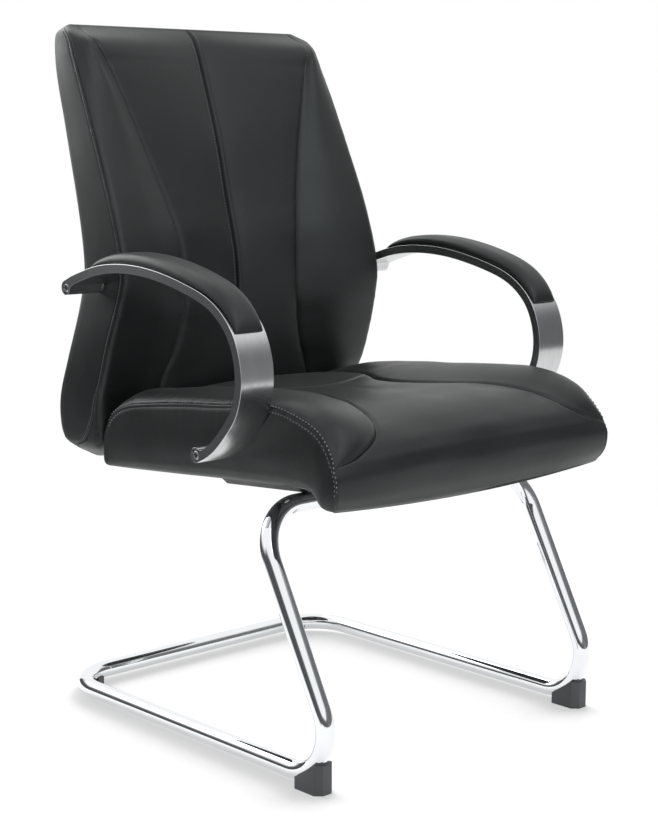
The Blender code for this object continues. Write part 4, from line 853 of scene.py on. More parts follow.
def turned_seam(gap):
    """Give the relief of a topstitched seam: a fold, a raised band on one side and a stitch line."""
    fold = -0.0019 * np.exp(-np.abs(gap) / 0.0008)
    band = 0.0005 * np.clip(1 - np.abs((gap - TOPSTITCH_OFFSET / 2) / (TOPSTITCH_OFFSET / 2)) ** 3, 0, 1)
    stitch_line = -0.0007 * np.exp(-((gap - TOPSTITCH_OFFSET) / 0.0009) ** 2)
    return fold + np.where(gap > 0, band, 0.0) + stitch_line


def soft_noise(seed, rows, columns):
    """Give a smooth random field between about -1 and 1, read at rows and columns counted in cells."""
    cells = (int(rows.max()) + 4, int(columns.max()) + 4, 1)
    lattice = np.random.default_rng(seed).normal(0.0, 0.55, cells)
    return cubic_sample(lattice, rows + 1.0, columns + 1.0)[..., 0]


def puckers(seed, run, gap, size=0.00045):
    """Give the small gathers that a tight seam pulls into the hide on both sides of it."""
    along = run / PUCKER_SPACING
    ripple = soft_noise(seed, along - along.min(), 1.5 * (gap > 0))
    away_from = np.abs(gap)
    return size * ripple * np.exp(-away_from / PUCKER_REACH) * np.clip(away_from / 0.0015, 0, 1)


bolster_open = np.clip((bolster_width(fine_runs) - 0.004) / 0.016, 0, 1)[:, None]
relief = sewn_groove(bolster_gap, SEAT_BOLSTER_SEAM_DEPTH) * bolster_open
relief = relief + turned_seam(side_gap)
cross_seam = sewn_groove(cross_gap, CROSS_SEAM_DEPTH) * np.clip(bolster_gap / 0.004, 0, 1)
relief = relief + np.where(out <= 1.0 + 1e-6, cross_seam, 0.0)
run_column = fine_runs[:, None]
relief = relief + puckers(3, run_column, past[..., 1]) * bolster_open
relief = relief + puckers(5, run_column, side_gap, 0.0006)
across = np.linspace(0.0, 24.0, seat_rings.shape[1])[None, :]
relief = relief + 0.0004 * soft_noise(7, run_column / 0.045, across)
relief = relief * np.where(out > 3 - 1e-6, 0.0, 1.0) * ends
seat_out = grid_normals(seat_rings)
seat_rings = seat_rings + seat_out * relief[..., None]


# Smooth cowhide: dyed near-black with a thin pigment coat. The eye gets a satin sheen that follows
# the form, a pebble grain about 0.9 mm across drawn at 1.4 mm to show, and faint soft creases.
cowhide, tree = new_material("smooth_black_cowhide")
place = add_node(tree, "ShaderNodeTexCoord").outputs["Object"]
pebble = add_node(tree, "ShaderNodeTexVoronoi", {
    "Vector": place, "Scale": 1 / 0.0014, "Randomness": 0.9}, feature="DISTANCE_TO_EDGE")
pore = add_node(tree, "ShaderNodeTexNoise", {
    "Vector": place, "Scale": 1 / 0.0022, "Detail": 4.0, "Roughness": 0.6})
crease = add_node(tree, "ShaderNodeTexNoise", {
    "Vector": place, "Scale": 1 / 0.016, "Detail": 3.0, "Distortion": 0.8})
cloudy = add_node(tree, "ShaderNodeTexNoise", {
    "Vector": place, "Scale": 1 / 0.07, "Detail": 3.0})
valley = add_node(tree, "ShaderNodeMapRange", {
    "Value": pebble.outputs["Distance"], "From Min": 0.0, "From Max": 0.22})
pebble_bump = add_node(tree, "ShaderNodeBump", {
    "Height": valley.outputs["Result"], "Strength": 0.16, "Distance": 0.0002})
pore_bump = add_node(tree, "ShaderNodeBump", {
    "Height": pore.outputs["Fac"], "Strength": 0.14, "Distance": 0.0003,
    "Normal": pebble_bump.outputs["Normal"]})
crease_bump = add_node(tree, "ShaderNodeBump", {
    "Height": crease.outputs["Fac"], "Strength": 0.10, "Distance": 0.002,
    "Normal": pore_bump.outputs["Normal"]})
satin = mottled(tree, cloudy.outputs["Fac"], ("#131415", "#191a1b"), (0.40, 0.48))
satin["Base Color"] = add_node(tree, "ShaderNodeMix", {
    "Factor": valley.outputs["Result"], "A": linear("#0f1011"), "B": satin["Base Color"]},
    data_type="RGBA").outputs["Result"]
hide = add_node(tree, "ShaderNodeBsdfPrincipled", {
    **satin, "IOR": 1.50, "Specular Tint": linear("#f2fbfb"), "Sheen Weight": 0.08,
    "Sheen Roughness": 0.45, "Normal": crease_bump.outputs["Normal"]})
finish_material(tree, hide.outputs["BSDF"])

# Bonded polyester thread, mid grey and slightly waxy, so each stitch catches a small light.
thread, tree = new_material("waxed_polyester_thread")
place = add_node(tree, "ShaderNodeTexCoord").outputs["Object"]
ply = add_node(tree, "ShaderNodeTexWave", {
    "Vector": place, "Scale": 1 / 0.0011, "Distortion": 1.0}, bands_direction="DIAGONAL")
thread_tone = add_node(tree, "ShaderNodeMix", {
    "Factor": ply.outputs["Fac"], "A": linear("#727477"), "B": linear("#96989b")}, data_type="RGBA")
ply_bump = add_node(tree, "ShaderNodeBump", {
    "Height": ply.outputs["Fac"], "Strength": 0.4, "Distance": 0.0001})
waxed = add_node(tree, "ShaderNodeBsdfPrincipled", {
    "Base Color": thread_tone.outputs["Result"], "Roughness": 0.42, "IOR": 1.55, "Sheen Weight": 0.3,
    "Normal": ply_bump.outputs["Normal"]})
finish_material(tree, waxed.outputs["BSDF"])

# The columns that stitches follow are picked on one ring in the middle, where the seams run clear.
EDGE_STITCH_OFFSET = -0.0018
SEAT_STITCH_ROW = 60
STITCH_SIDES = 6

# Each row gives a place along a stitch, then its lift and its width there, counted in its radius.
STITCH_SHAPE = np.array([
    (0.0, -0.9, 0.55), (0.12, 0.15, 1.0), (0.5, 0.45, 1.0), (0.88, 0.15, 1.0), (1.0, -0.9, 0.55)])


def pocket_cut(mesh, tool_mesh):
    """Cut a pocket out of a mesh."""
    holder = in_scene("cut_piece", mesh)
    tool = in_scene("cut_tool", tool_mesh)
    cut = holder.modifiers.new("pocket", "BOOLEAN")
    cut.operation = "DIFFERENCE"
    cut.solver = "EXACT"
    cut.object = tool
    result = worked_mesh(holder)
    bpy.data.objects.remove(tool)
    result.shade_smooth()
    result.set_sharp_from_angle(angle=math.radians(60))
    return result


def prism(name, near_outline, far_outline):
    """Join two like outlines into a closed solid."""
    count = len(near_outline)
    faces = [(place, (place + 1) % count, count + (place + 1) % count, count + place)
             for place in range(count)]
    faces += [list(range(count))[::-1], list(range(count, 2 * count))]
    return outward_mesh(name, [*near_outline, *far_outline], faces)


def seat_board_pocket(grow, low, high):
    """Give the room that the seat board and its lining take in the cushion's underside."""
    half = SEAT_BOARD_HALF_WIDTH + grow
    front = -SEAT_BOARD_FRONT - grow
    rear = SEAT_BOARD_REAR + grow
    corner = SEAT_BOARD_CORNER
    outline = [
        (half, rear - corner), (half - corner, rear), (corner - half, rear), (-half, rear - corner),
        (-half, front + corner), (corner - half, front), (half - corner, front), (half, front + corner)]
    outlines = [[(
        x, crossbar.y + along * math.cos(SEAT_PITCH) + up * math.sin(SEAT_PITCH),
        crossbar.z + up * math.cos(SEAT_PITCH) - along * math.sin(SEAT_PITCH))
        for x, along in outline] for up in (low, high)]
    return prism("seat_board_pocket", *outlines)


def stitch_row(name, line, outward, pitch=0.0048, length=0.0034, radius=0.0005):
    """Lay a row of stitches along a line, each a short thread that dips into the hide at both ends."""
    runs = run_lengths(line)
    verts = []
    faces = []
    count = int((runs[-1] - length) / pitch)
    for step in range(count):
        start = step * pitch + (runs[-1] - count * pitch) / 2
        spots = start + length * STITCH_SHAPE[:, 0]
        points = np.stack([np.interp(spots, runs, line[:, axis]) for axis in range(3)], axis=1)
        up = np.stack([np.interp(spots, runs, outward[:, axis]) for axis in range(3)], axis=1)
        up /= np.linalg.norm(up, axis=1, keepdims=True)
        ahead = points[-1] - points[0]
        ahead /= np.linalg.norm(ahead)
        base = len(verts)
        for spot, (_share, lift, width) in enumerate(STITCH_SHAPE):
            aside = np.cross(up[spot], ahead)
            aside /= np.linalg.norm(aside)
            for side in range(STITCH_SIDES):
                turn = math.tau * side / STITCH_SIDES
                verts.append(points[spot] + up[spot] * radius * (lift + width * math.sin(turn))
                             + aside * radius * width * math.cos(turn))
        for corner in range(base, base + 4 * STITCH_SIDES, STITCH_SIDES):
            for side in range(STITCH_SIDES):
                here, after = corner + side, corner + (side + 1) % STITCH_SIDES
                faces.append((here, after, after + STITCH_SIDES, here + STITCH_SIDES))
        faces.append([base + side for side in range(STITCH_SIDES)][::-1])
        faces.append([base + 4 * STITCH_SIDES + side for side in range(STITCH_SIDES)])
    mesh = bpy.data.meshes.new(name)
    mesh.from_pydata([tuple(vert) for vert in verts], [], faces)
    mesh.shade_smooth()
    return mesh


seat_mesh = pocket_cut(ring_mesh("seat_cover", seat_rings), seat_board_pocket(
    0.0006, LINING_HEIGHT - 0.02, SEAT_BOARD_TOP + 0.0006))
seat_cushion = add_piece("seat_cushion_cover", seat_mesh, cowhide, "leather", "seat_cushion")

first = int(np.searchsorted(fine_runs, station_runs[2]))
last = int(np.searchsorted(fine_runs, station_runs[18]))
for row_name, offset in (("topstitch", TOPSTITCH_OFFSET), ("edge_stitch", EDGE_STITCH_OFFSET)):
    column = int(np.argmin(np.abs(seat_past[SEAT_STITCH_ROW, :, 2] - offset)))
    for side_name, whole_column in (("left", column), ("right", seat_rings.shape[1] - column)):
        add_piece(f"seat_{row_name}_{side_name}", stitch_row(
            row_name, seat_rings[first:last, whole_column], seat_out[first:last, whole_column],
            0.0060, 0.0030, 0.0008), thread, "leather")


# Back cushion: moulded foam on the bent back board under the same hide. Two middle panels meet in a
# double-stitched seam, a bolster runs down each side and comes forward beside the sitter's waist,
# and flat side panels close it, their front seams turned and topstitched like the seat's.
BACK_BOTTOM = 0.011
BACK_HEIGHT = 0.618
BACK_HALF_WIDTH = 0.254
BACK_SIDE_CROWN = 0.0015
BACK_REAR_CROWN = 0.008
BACK_BOLSTER_RISE = 0.008
BACK_PANEL_RISE = 0.003
BACK_ROLL_START = 0.952
BACK_FOOT_END = 0.058
BACK_CREST_Y = 0.4510
BACK_FOOT_Y = 0.4000
BOARD_THICKNESS = 0.012
BOARD_HALF_WIDTH = 0.203
BOARD_BOTTOM = 0.032
BOARD_TOP = 0.600
CENTRE_STITCH_OFFSET = 0.0050
BACK_FOOT_CORNER = 0.028
BACK_CREST_CORNER = 0.015
BACK_ROW_STEP = 0.0031
BACK_COARSE_STEP = 0.0085
BACK_ROLL_RUN = 0.050
BACK_FOOT_THINNING = 0.10
BACK_CREST_THINNING = 0.07
BACK_SLACK = 0.0004
BACK_BOLSTER_SEAM_DEPTH = 0.0018
BACK_REAR_SEAM_DEPTH = 0.0032
BACK_STITCH_ROW = 80
BOARD_EASE = 0.0005

# Each line gives a value by height, counted as a share of the cushion's own height. The last one,
# the board's middle line, goes by metres above the crossbar.
back_narrowing = through(
    [0.000, 0.030, 0.100, 0.185, 0.285, 0.380, 0.450, 0.600, 0.750, 0.860, 0.940, 0.985, 1.000],
    [0.022, 0.010, 0.003, 0.000, 0.001, 0.007, 0.0122, 0.0145, 0.0175, 0.020, 0.0230, 0.0270, 0.032])
back_middle_front = through(
    [0.000, 0.012, 0.040, 0.090, 0.150, 0.200, 0.290, 0.375, 0.475, 0.600, 0.740, 0.870, 0.955, 0.985,
     1.000],
    [0.376, 0.353, 0.342, 0.339, 0.335, 0.3305, 0.3305, 0.3335, 0.3385, 0.358, 0.3795, 0.406, 0.425,
     0.434, 0.446])
back_side_front = through(
    [0.000, 0.012, 0.040, 0.090, 0.150, 0.190, 0.285, 0.380, 0.430, 0.500, 0.600, 0.710, 0.840, 0.930,
     0.985, 1.0],
    [0.382, 0.359, 0.347, 0.344, 0.340, 0.329, 0.309, 0.2905, 0.2865, 0.295, 0.316, 0.345, 0.3815,
     0.410, 0.429, 0.444])
back_seam_front = through(
    [0.000, 0.012, 0.040, 0.090, 0.190, 0.235, 0.300, 0.360, 0.465, 0.520, 0.590, 0.705, 0.820, 0.915,
     0.965, 1.0],
    [0.380, 0.357, 0.346, 0.343, 0.3375, 0.3325, 0.3265, 0.3215, 0.3245, 0.3285, 0.3405, 0.3595,
     0.3765, 0.3915, 0.403, 0.444])
back_seam_x = through(
    [0.000, 0.190, 0.235, 0.300, 0.360, 0.465, 0.520, 0.590, 0.705, 0.820, 0.915, 0.965, 1.000],
    [0.170, 0.137, 0.124, 0.113, 0.107, 0.109, 0.113, 0.123, 0.144, 0.167, 0.188, 0.202, 0.198])
back_side_rear = through(
    [0.000, 0.012, 0.040, 0.090, 0.145, 0.230, 0.315, 0.390, 0.445, 0.540, 0.660, 0.780, 0.900, 0.960,
     0.985, 1.0],
    [0.420, 0.432, 0.446, 0.4505, 0.4455, 0.4245, 0.405, 0.394, 0.393, 0.4015, 0.419, 0.440, 0.460,
     0.466, 0.465, 0.456])
back_rear_round = through(
    [0.0, 0.090, 0.500, 0.780, 0.900, 1.0], [0.020, 0.024, 0.022, 0.017, 0.013, 0.010])
back_seam_turn = through(
    [0.0, 0.0275, 0.052, 0.097, 0.137, 0.165], [0.072, 0.056, 0.0325, 0.0125, 0.0035, 0.0])
board_line = through(
    [0.030, 0.100, 0.160, 0.220, 0.260, 0.300, 0.380, 0.460, 0.540, 0.602],
    [0.3990, 0.3950, 0.3850, 0.3750, 0.3730, 0.3760, 0.3930, 0.4140, 0.4350, 0.4450])


def back_fullness(share):
    """Give how full the padding is at a share of the height, thinning towards the foot and the crest."""
    return min(1.0, share / BACK_FOOT_THINNING, max(0.0, 1.0 - share) / BACK_CREST_THINNING)


def back_half_section(share, closing):
    """Give half of the back's section at a share of its height, drawn in towards its crest or foot."""
    height = BACK_BOTTOM + share * BACK_HEIGHT
    ease = back_fullness(share)
    half = BACK_HALF_WIDTH - back_narrowing(share)
    seam = back_seam_x(share)
    band = half - seam
    middle, seam_y, side_y = back_middle_front(share), back_seam_front(share), back_side_front(share)
    pinch = min(0.010, band * 0.2) / band
    edge = min(0.008, band * 0.15) / band
    over = np.linspace(0.0, 1.0, 60)
    puff = BACK_PANEL_RISE * ease * (1 - np.abs(2 * over - 1) ** 5)
    panel = np.stack([seam * over, middle + (seam_y - middle) * over - puff], axis=1)
    bolster = through([0.0, pinch, 0.4, 0.7, 1 - edge, 1.0], [0.0, 0.3, 1.0, 0.95, 0.55, 0.0])
    over = np.linspace(0.0, 1.0, 90)[1:]
    puff = BACK_BOLSTER_RISE * ease * bolster(over)
    wing = np.stack([seam + band * over, seam_y + (side_y - seam_y) * over - puff], axis=1)
    round_in = back_rear_round(share)
    rear_y = back_side_rear(share)
    round_y = rear_y - round_in * 0.8
    over = np.linspace(0.0, 1.0, 60)[1:]
    side = np.stack([
        half + BACK_SIDE_CROWN * ease * np.sin(math.pi * over), side_y + (round_y - side_y) * over], axis=1)
    turn = np.linspace(0.0, math.pi / 2, 24)[1:]
    rear_corner_y = rear_y + BACK_REAR_CROWN * (1 - ((half - round_in) / half) ** 2) * ease
    corner = np.stack([
        half - round_in * (1 - np.cos(turn)),
        round_y + (rear_corner_y - round_y) * np.sin(turn)], axis=1)
    rear_x = np.concatenate([
        np.linspace(half - round_in, BOARD_HALF_WIDTH, 12)[1:], np.linspace(BOARD_HALF_WIDTH, 0.0, 50)[1:]])
    rear = np.stack([rear_x, rear_y + BACK_REAR_CROWN * (1 - (rear_x / half) ** 2) * ease], axis=1)
    flat = np.concatenate([panel, wing, side, corner, rear])
    crest = BACK_CREST_Y if share > 0.5 else BACK_FOOT_Y
    flat[:, 1] += (crest - flat[:, 1]) * closing
    line = np.concatenate([flat, np.full((len(flat), 1), height)], axis=1)
    reach, inward = (BACK_FOOT_CORNER, 1) if share < 0.5 else (BACK_CREST_CORNER, -1)
    upward = max(0.0, 1.0 - min(share, 1.0 - share) * BACK_HEIGHT / reach)
    outward = np.clip((line[:, 0] - half + reach) / reach, 0.0, 1.0)
    line[:, 0] -= reach * outward * (1 - math.sqrt(1 - upward ** 2 / 2))
    line[:, 2] += reach * upward * (1 - np.sqrt(1 - outward ** 2 / 2)) * inward
    runs = run_lengths(line)
    front_edge = len(panel) + len(wing) - 1
    turned = runs[front_edge] + back_seam_turn(share) * (1 - closing)
    side_mark = int(np.argmin(np.abs(runs - turned)))
    rear_mark = len(line) - 50
    return line, (0, len(panel) - 1, side_mark, rear_mark, len(line) - 1)


def back_levels(step):
    """Give (share, closing) rows: a rounded foot, an even run and a crest that rolls over."""
    levels = []
    roll_rows = int(round(BACK_ROLL_RUN / step))
    for row in range(roll_rows):
        angle = math.radians(88) * (1 - row / roll_rows)
        levels.append((BACK_FOOT_END * (1 - math.sin(angle)), 1 - math.cos(angle)))
    rows = int(round((BACK_ROLL_START - BACK_FOOT_END) * BACK_HEIGHT / step))
    for row in range(rows):
        levels.append((BACK_FOOT_END + (BACK_ROLL_START - BACK_FOOT_END) * row / rows, 0.0))
    for row in range(roll_rows + 1):
        angle = math.radians(87) * row / roll_rows
        levels.append((BACK_ROLL_START + (1 - BACK_ROLL_START) * math.sin(angle), 1 - math.cos(angle)))
    return levels


coarse_levels = back_levels(BACK_COARSE_STEP)
coarse_counts = (9, 10, 9, 10)
coarse_rings, coarse_places, _past = section_rings(
    (back_half_section(*level) for level in coarse_levels), coarse_counts, (None,) * 4)
coarse_half = sum(coarse_counts) + 1
sewn = np.zeros((len(coarse_levels), coarse_half), bool)
sewn[:, [0, coarse_counts[0], coarse_counts[0] + coarse_counts[1]]] = True
sewn[:, coarse_half - coarse_counts[3] - 1:] = True
sewn[:3] = True
sewn[-3:] = True
back_moved = swell("back_cover", coarse_rings, mirror_columns(sewn), BACK_SLACK)

fine_levels = back_levels(BACK_ROW_STEP)
back_rings, back_places, back_past = section_rings(
    (back_half_section(*level) for level in fine_levels), (10, 13, 11, 9), ("both", "both", "both", None))
coarse_at = np.linspace(0, 1, len(coarse_levels))
fine_at = np.linspace(0, 1, len(fine_levels))[:, None]
back_all_places = both_sides(back_places)
back_rings = back_rings + carry_swell(back_moved, coarse_at, coarse_places, fine_at, back_all_places, 3)
past = mirror_columns(back_past)
out = np.minimum(back_all_places, 2 * 4 - back_all_places)
centre_gap = np.abs(past[..., 0])
bolster_gap = np.abs(past[..., 1])
side_gap = past[..., 2]
rear_gap = np.abs(past[..., 3])
shares = np.array([share for share, _closing in fine_levels])[:, None]
ends = np.clip(np.minimum(shares / 0.03, (1 - shares) / 0.012), 0, 1)
centre_side = centre_gap * np.where(np.arange(back_rings.shape[1]) < back_places.shape[1], 1.0, -1.0)
double_seam = (-0.0017 * np.exp(-centre_gap / 0.0009)
               + 0.0016 * np.exp(-((centre_side - 0.0042) / 0.0026) ** 2)
               + 0.0004 * np.exp(-((centre_side + 0.0022) / 0.0014) ** 2)
               - 0.0008 * np.exp(-((centre_side + CENTRE_STITCH_OFFSET) / 0.0008) ** 2)
               - 0.0012 * np.exp(-centre_gap / 0.0070))
relief = np.where(out < 1 + 1e-6, double_seam, 0.0)
relief = relief + sewn_groove(bolster_gap, BACK_BOLSTER_SEAM_DEPTH) + turned_seam(side_gap)
relief = relief - BACK_REAR_SEAM_DEPTH * np.exp(-rear_gap / 0.0040)
level_run = np.arange(len(fine_levels))[:, None] * BACK_ROW_STEP
relief = relief + puckers(11, level_run, past[..., 1], 0.0002)
relief = relief + puckers(13, level_run, side_gap, 0.0004)
across = np.linspace(0.0, 22.0, back_rings.shape[1])[None, :]
relief = relief + 0.0004 * soft_noise(17, level_run / 0.055, across)
back_out = grid_normals(back_rings)
back_rings = back_rings + back_out * (relief * ends)[..., None]


def board_face(distance, low, high, steps=40):
    """Give (y, z) points at a distance in front of the back board's middle line."""
    heights = np.linspace(low, high, steps)
    slant = (board_line(heights + 0.001) - board_line(heights - 0.001)) / 0.002
    length = np.hypot(1.0, slant)
    return np.stack([board_line(heights) - distance / length, heights + distance * slant / length], axis=1)


def across_mesh(name, outline, half_width, centre_x=0.0):
    """Extrude a side-view outline of (y, z) points across the chair."""
    return prism(name, *([
        (centre_x + side * half_width, y + crossbar.y, z + crossbar.z) for y, z in outline]
        for side in (-1, 1)))


pocket_low = BOARD_BOTTOM - BOARD_EASE
pocket_high = BOARD_TOP + BOARD_EASE
pocket = np.concatenate([
    board_face(BOARD_THICKNESS / 2 + BOARD_EASE, pocket_low, pocket_high),
    [(board_line(BOARD_TOP) + 0.1, pocket_high), (board_line(BOARD_BOTTOM) + 0.1, pocket_low)]])
back_mesh = pocket_cut(ring_mesh("back_cover", back_rings), across_mesh(
    "pocket", pocket, BOARD_HALF_WIDTH + BOARD_EASE))
back_cushion = add_piece("back_cushion_cover", back_mesh, cowhide, "leather", "back_cushion")

turned = int(np.argmin(np.abs(back_past[BACK_STITCH_ROW, :, 2] - TOPSTITCH_OFFSET)))
centre = int(np.argmin(np.abs(back_past[BACK_STITCH_ROW, :, 0] - CENTRE_STITCH_OFFSET)))
first = int(np.searchsorted(shares[:, 0], 0.015))
last = int(np.searchsorted(shares[:, 0], 0.990))
for row_name, column in (
        ("left_side", turned), ("right_side", back_rings.shape[1] - turned),
        ("centre", back_rings.shape[1] - centre)):
    add_piece("back_stitches_" + row_name, stitch_row(
        "back_stitches", back_rings[first:last, column], back_out[first:last, column], radius=0.0004),
        thread, "leather")


# Rear panel: a thin upholstered pad of the same hide that closes the back behind its board. It is
# drawn over a hardboard stiffener and pushed home on clips, so its edge rolls into a plain seam.
PANEL_GAP = 0.0003
PANEL_EDGE = 0.020
PANEL_EDGE_DROP = 0.0050

panel_low = BOARD_BOTTOM + PANEL_GAP
panel_high = BOARD_TOP - PANEL_GAP
panel_edge = PANEL_EDGE * np.linspace(0, 1, 7) ** 1.6
panel_columns = np.concatenate([
    np.linspace(-1, -0.9, 8), np.linspace(-0.9, 0.9, 54)[1:-1], np.linspace(0.9, 1, 8)])
x = panel_columns * (BOARD_HALF_WIDTH - PANEL_GAP)
panel_rows = []
for height in np.concatenate([
        panel_low + panel_edge, np.linspace(panel_low + 0.024, panel_high - 0.024, 120),
        panel_high - panel_edge[::-1]]):
    share = (height - BACK_BOTTOM) / BACK_HEIGHT
    half = BACK_HALF_WIDTH - back_narrowing(share)
    full = back_side_rear(share) + BACK_REAR_CROWN * (1 - (x / half) ** 2) * back_fullness(share)
    from_end = min(height - panel_low, panel_high - height) + 0.0002
    edge_gap = np.minimum(BOARD_HALF_WIDTH - np.abs(x), from_end)
    rear_y = full - 0.0005 - PANEL_EDGE_DROP * np.exp(-np.maximum(edge_gap, 0.0) / 0.0045)
    front_y = np.full_like(x, board_line(height) + BOARD_THICKNESS / 2 + 0.0006)
    rear_y = np.maximum(rear_y, front_y + 0.001)
    level = np.full_like(x, height)
    panel_rows.append(np.concatenate([
        np.stack([x, rear_y, level], axis=1), np.stack([x[::-1], front_y, level], axis=1)]))
rear_panel = add_piece(
    "rear_panel_cover", ring_mesh("rear_panel", np.array(panel_rows) + np.array(crossbar)), cowhide,
    "leather", "back_rear_panel")


# Arms: each is cast in aluminium as a flat bar, 53.5 x 12 mm, in the form of a C, with a bolt eye
# across both ends blended in by a fillet. The faces are linished, then polished on a wheel.
ARM_X = 0.27875
ARM_HALF_WIDTH = 0.02675
ARM_THICKNESS = 0.0120
ARM_EYE_RADIUS = 0.0100
ARM_EDGE_ROUND = 0.0014
ARM_OUTER_ROUND = 0.0040
ARM_FILLET = 0.011
ARM_BOLT_RADIUS = 0.0040
ARM_BOLT_HEAD_RADIUS = 0.0065
ARM_BOLT_HEAD = 0.0080
UPPER_EYE = np.array((0.3349, 0.2669))
LOWER_EYE = np.array((0.0528, 0.0720))
EYE_SEARCH = 0.10
EYE_BLEND = 0.013
HOLE_EASE = 0.0003
ARM_LINE = np.array([
    (0.3365, 0.2706), (0.3134, 0.2802), (0.2564, 0.2959), (0.1940, 0.3008), (0.1274, 0.2953),
    (0.0484, 0.2770), (0.0110, 0.2600), (-0.0167, 0.2335), (-0.0312, 0.1990), (-0.0332, 0.1650),
    (-0.0225, 0.1315), (-0.0020, 0.1065), (0.0225, 0.0835), (0.0507, 0.0678)])


def evened(line, reach=5):
    """Average out small wobbles along a line and keep its ends and its wide curves."""
    weights = np.exp(-(np.arange(-3 * reach, 3 * reach + 1) / reach) ** 2 / 2)
    weights = weights / weights.sum()

    def averaged(values):
        ends = np.concatenate([
            2 * values[0] - values[3 * reach:0:-1], values, 2 * values[-1] - values[-2:-3 * reach - 2:-1]])
        return np.stack([np.convolve(ends[:, place], weights, "valid") for place in (0, 1)], axis=1)

    once = averaged(line)
    return once + averaged(line - once)


chord_runs = run_lengths(ARM_LINE)
arm_line = evened(through(chord_runs, ARM_LINE)(np.linspace(0.0, chord_runs[-1], 280)))
arm_runs = run_lengths(arm_line)
arm_at = through(arm_runs, arm_line)
arm_length = arm_runs[-1]


def arm_offset(run, distance):
    """Give (y, z) beside the arm's middle line, a distance towards the outside of the C."""
    run = np.asarray(run, float)
    along = arm_at(np.minimum(run + 0.001, arm_length)) - arm_at(np.maximum(run - 0.001, 0.0))
    along = along / np.linalg.norm(along, axis=-1, keepdims=True)
    return arm_at(run) + np.stack([along[..., 1], -along[..., 0]], axis=-1) * np.expand_dims(distance, -1)


def arc(centre, radius, start, end, steps, clockwise):
    """Give the points of an arc between two points on it."""
    first = math.atan2(*(start - centre)[::-1])
    last = math.atan2(*(end - centre)[::-1])
    if clockwise and last > first:
        last -= math.tau
    if not clockwise and last < first:
        last += math.tau
    turn = np.linspace(first, last, steps)
    return centre + radius * np.stack([np.cos(turn), np.sin(turn)], axis=1)


def eye_end(eye, near_start):
    """Give the outline round one bolt eye, from the bar's outer edge to its inner edge."""
    half = ARM_THICKNESS / 2
    end, inward = (0.0, 1) if near_start else (arm_length, -1)
    runs = np.linspace(end, end + inward * EYE_SEARCH, 800)
    fillet_centres = arm_offset(runs, -(half + ARM_FILLET))
    miss = np.linalg.norm(fillet_centres - eye, axis=1) - (ARM_EYE_RADIUS + ARM_FILLET)
    crossing = np.flatnonzero((miss[:-1] < 0) & (miss[1:] >= 0))[0]
    run = runs[crossing]
    fillet_centre = fillet_centres[crossing]
    on_bar = arm_offset(run, -half)
    on_eye = eye + (fillet_centre - eye) * ARM_EYE_RADIUS / (ARM_EYE_RADIUS + ARM_FILLET)
    outer_run = end + inward * EYE_BLEND
    toward = arm_offset(end, half) - arm_at(end)
    first = eye + toward / np.linalg.norm(toward) * ARM_EYE_RADIUS
    around = arc(eye, ARM_EYE_RADIUS, first, on_eye, 30, near_start)
    fillet = arc(fillet_centre, ARM_FILLET, on_eye, on_bar, 14, not near_start)
    return np.concatenate([around, fillet[1:]]), run, outer_run


# Polished aluminium: a grey, slightly soft mirror. Wheel marks run along the bar, finer than can be
# seen, so they are drawn 0.5 mm apart, and the polish leaves soft brighter and duller patches.
polished, tree = new_material("polished_cast_aluminium")
along_bar = add_node(tree, "ShaderNodeUVMap", uv_map="along_the_bar")
marks_map = add_node(tree, "ShaderNodeMapping", {
    "Vector": along_bar.outputs["UV"], "Scale": (1 / 0.06, 1 / 0.0005, 1.0)})
marks = add_node(tree, "ShaderNodeTexNoise", {
    "Vector": marks_map.outputs["Vector"], "Scale": 1.0, "Detail": 3.0})
patch_map = add_node(tree, "ShaderNodeMapping", {
    "Vector": along_bar.outputs["UV"], "Scale": (1 / 0.05, 1 / 0.008, 1.0)})
patches = add_node(tree, "ShaderNodeTexNoise", {
    "Vector": patch_map.outputs["Vector"], "Scale": 1.0, "Detail": 2.0})
marks_bump = add_node(tree, "ShaderNodeBump", {
    "Height": marks.outputs["Fac"], "Strength": 0.04, "Distance": 0.0002})
alloy = add_node(tree, "ShaderNodeBsdfPrincipled", {
    **mottled(tree, patches.outputs["Fac"], ("#d2d3d4", "#c3c4c4"), (0.21, 0.26)), "Metallic": 1.0,
    "Anisotropic": 0.35, "Normal": marks_bump.outputs["Normal"]})
finish_material(tree, alloy.outputs["BSDF"])

upper_outline, upper_run, outer_first = eye_end(UPPER_EYE, True)
lower_outline, lower_run, outer_last = eye_end(LOWER_EYE, False)
inner_edge = arm_offset(np.linspace(upper_run, lower_run, 190), -ARM_THICKNESS / 2)
outer_edge = arm_offset(np.linspace(outer_last, outer_first, 190), ARM_THICKNESS / 2)
arm_outline = np.concatenate([upper_outline, inner_edge[1:-1], lower_outline[::-1], outer_edge])


def round_hole(name, centre, start_x, end_x, radius):
    """Make a cutter for a round hole that runs across the chair."""
    turn = np.arange(40) * math.tau / 40
    outline = np.stack([centre[0] + radius * np.cos(turn), centre[1] + radius * np.sin(turn)], axis=1)
    return across_mesh(name, outline, abs(end_x - start_x) / 2, (start_x + end_x) / 2)


def lay_along_bar(mesh, chart):
    """Lay each point of a mesh out on the map that the wheel marks follow."""
    corners = np.zeros(len(mesh.loops), int)
    mesh.loops.foreach_get("vertex_index", corners)
    layer = mesh.uv_layers.new(name="along_the_bar")
    layer.data.foreach_set("uv", chart[corners].reshape(-1))


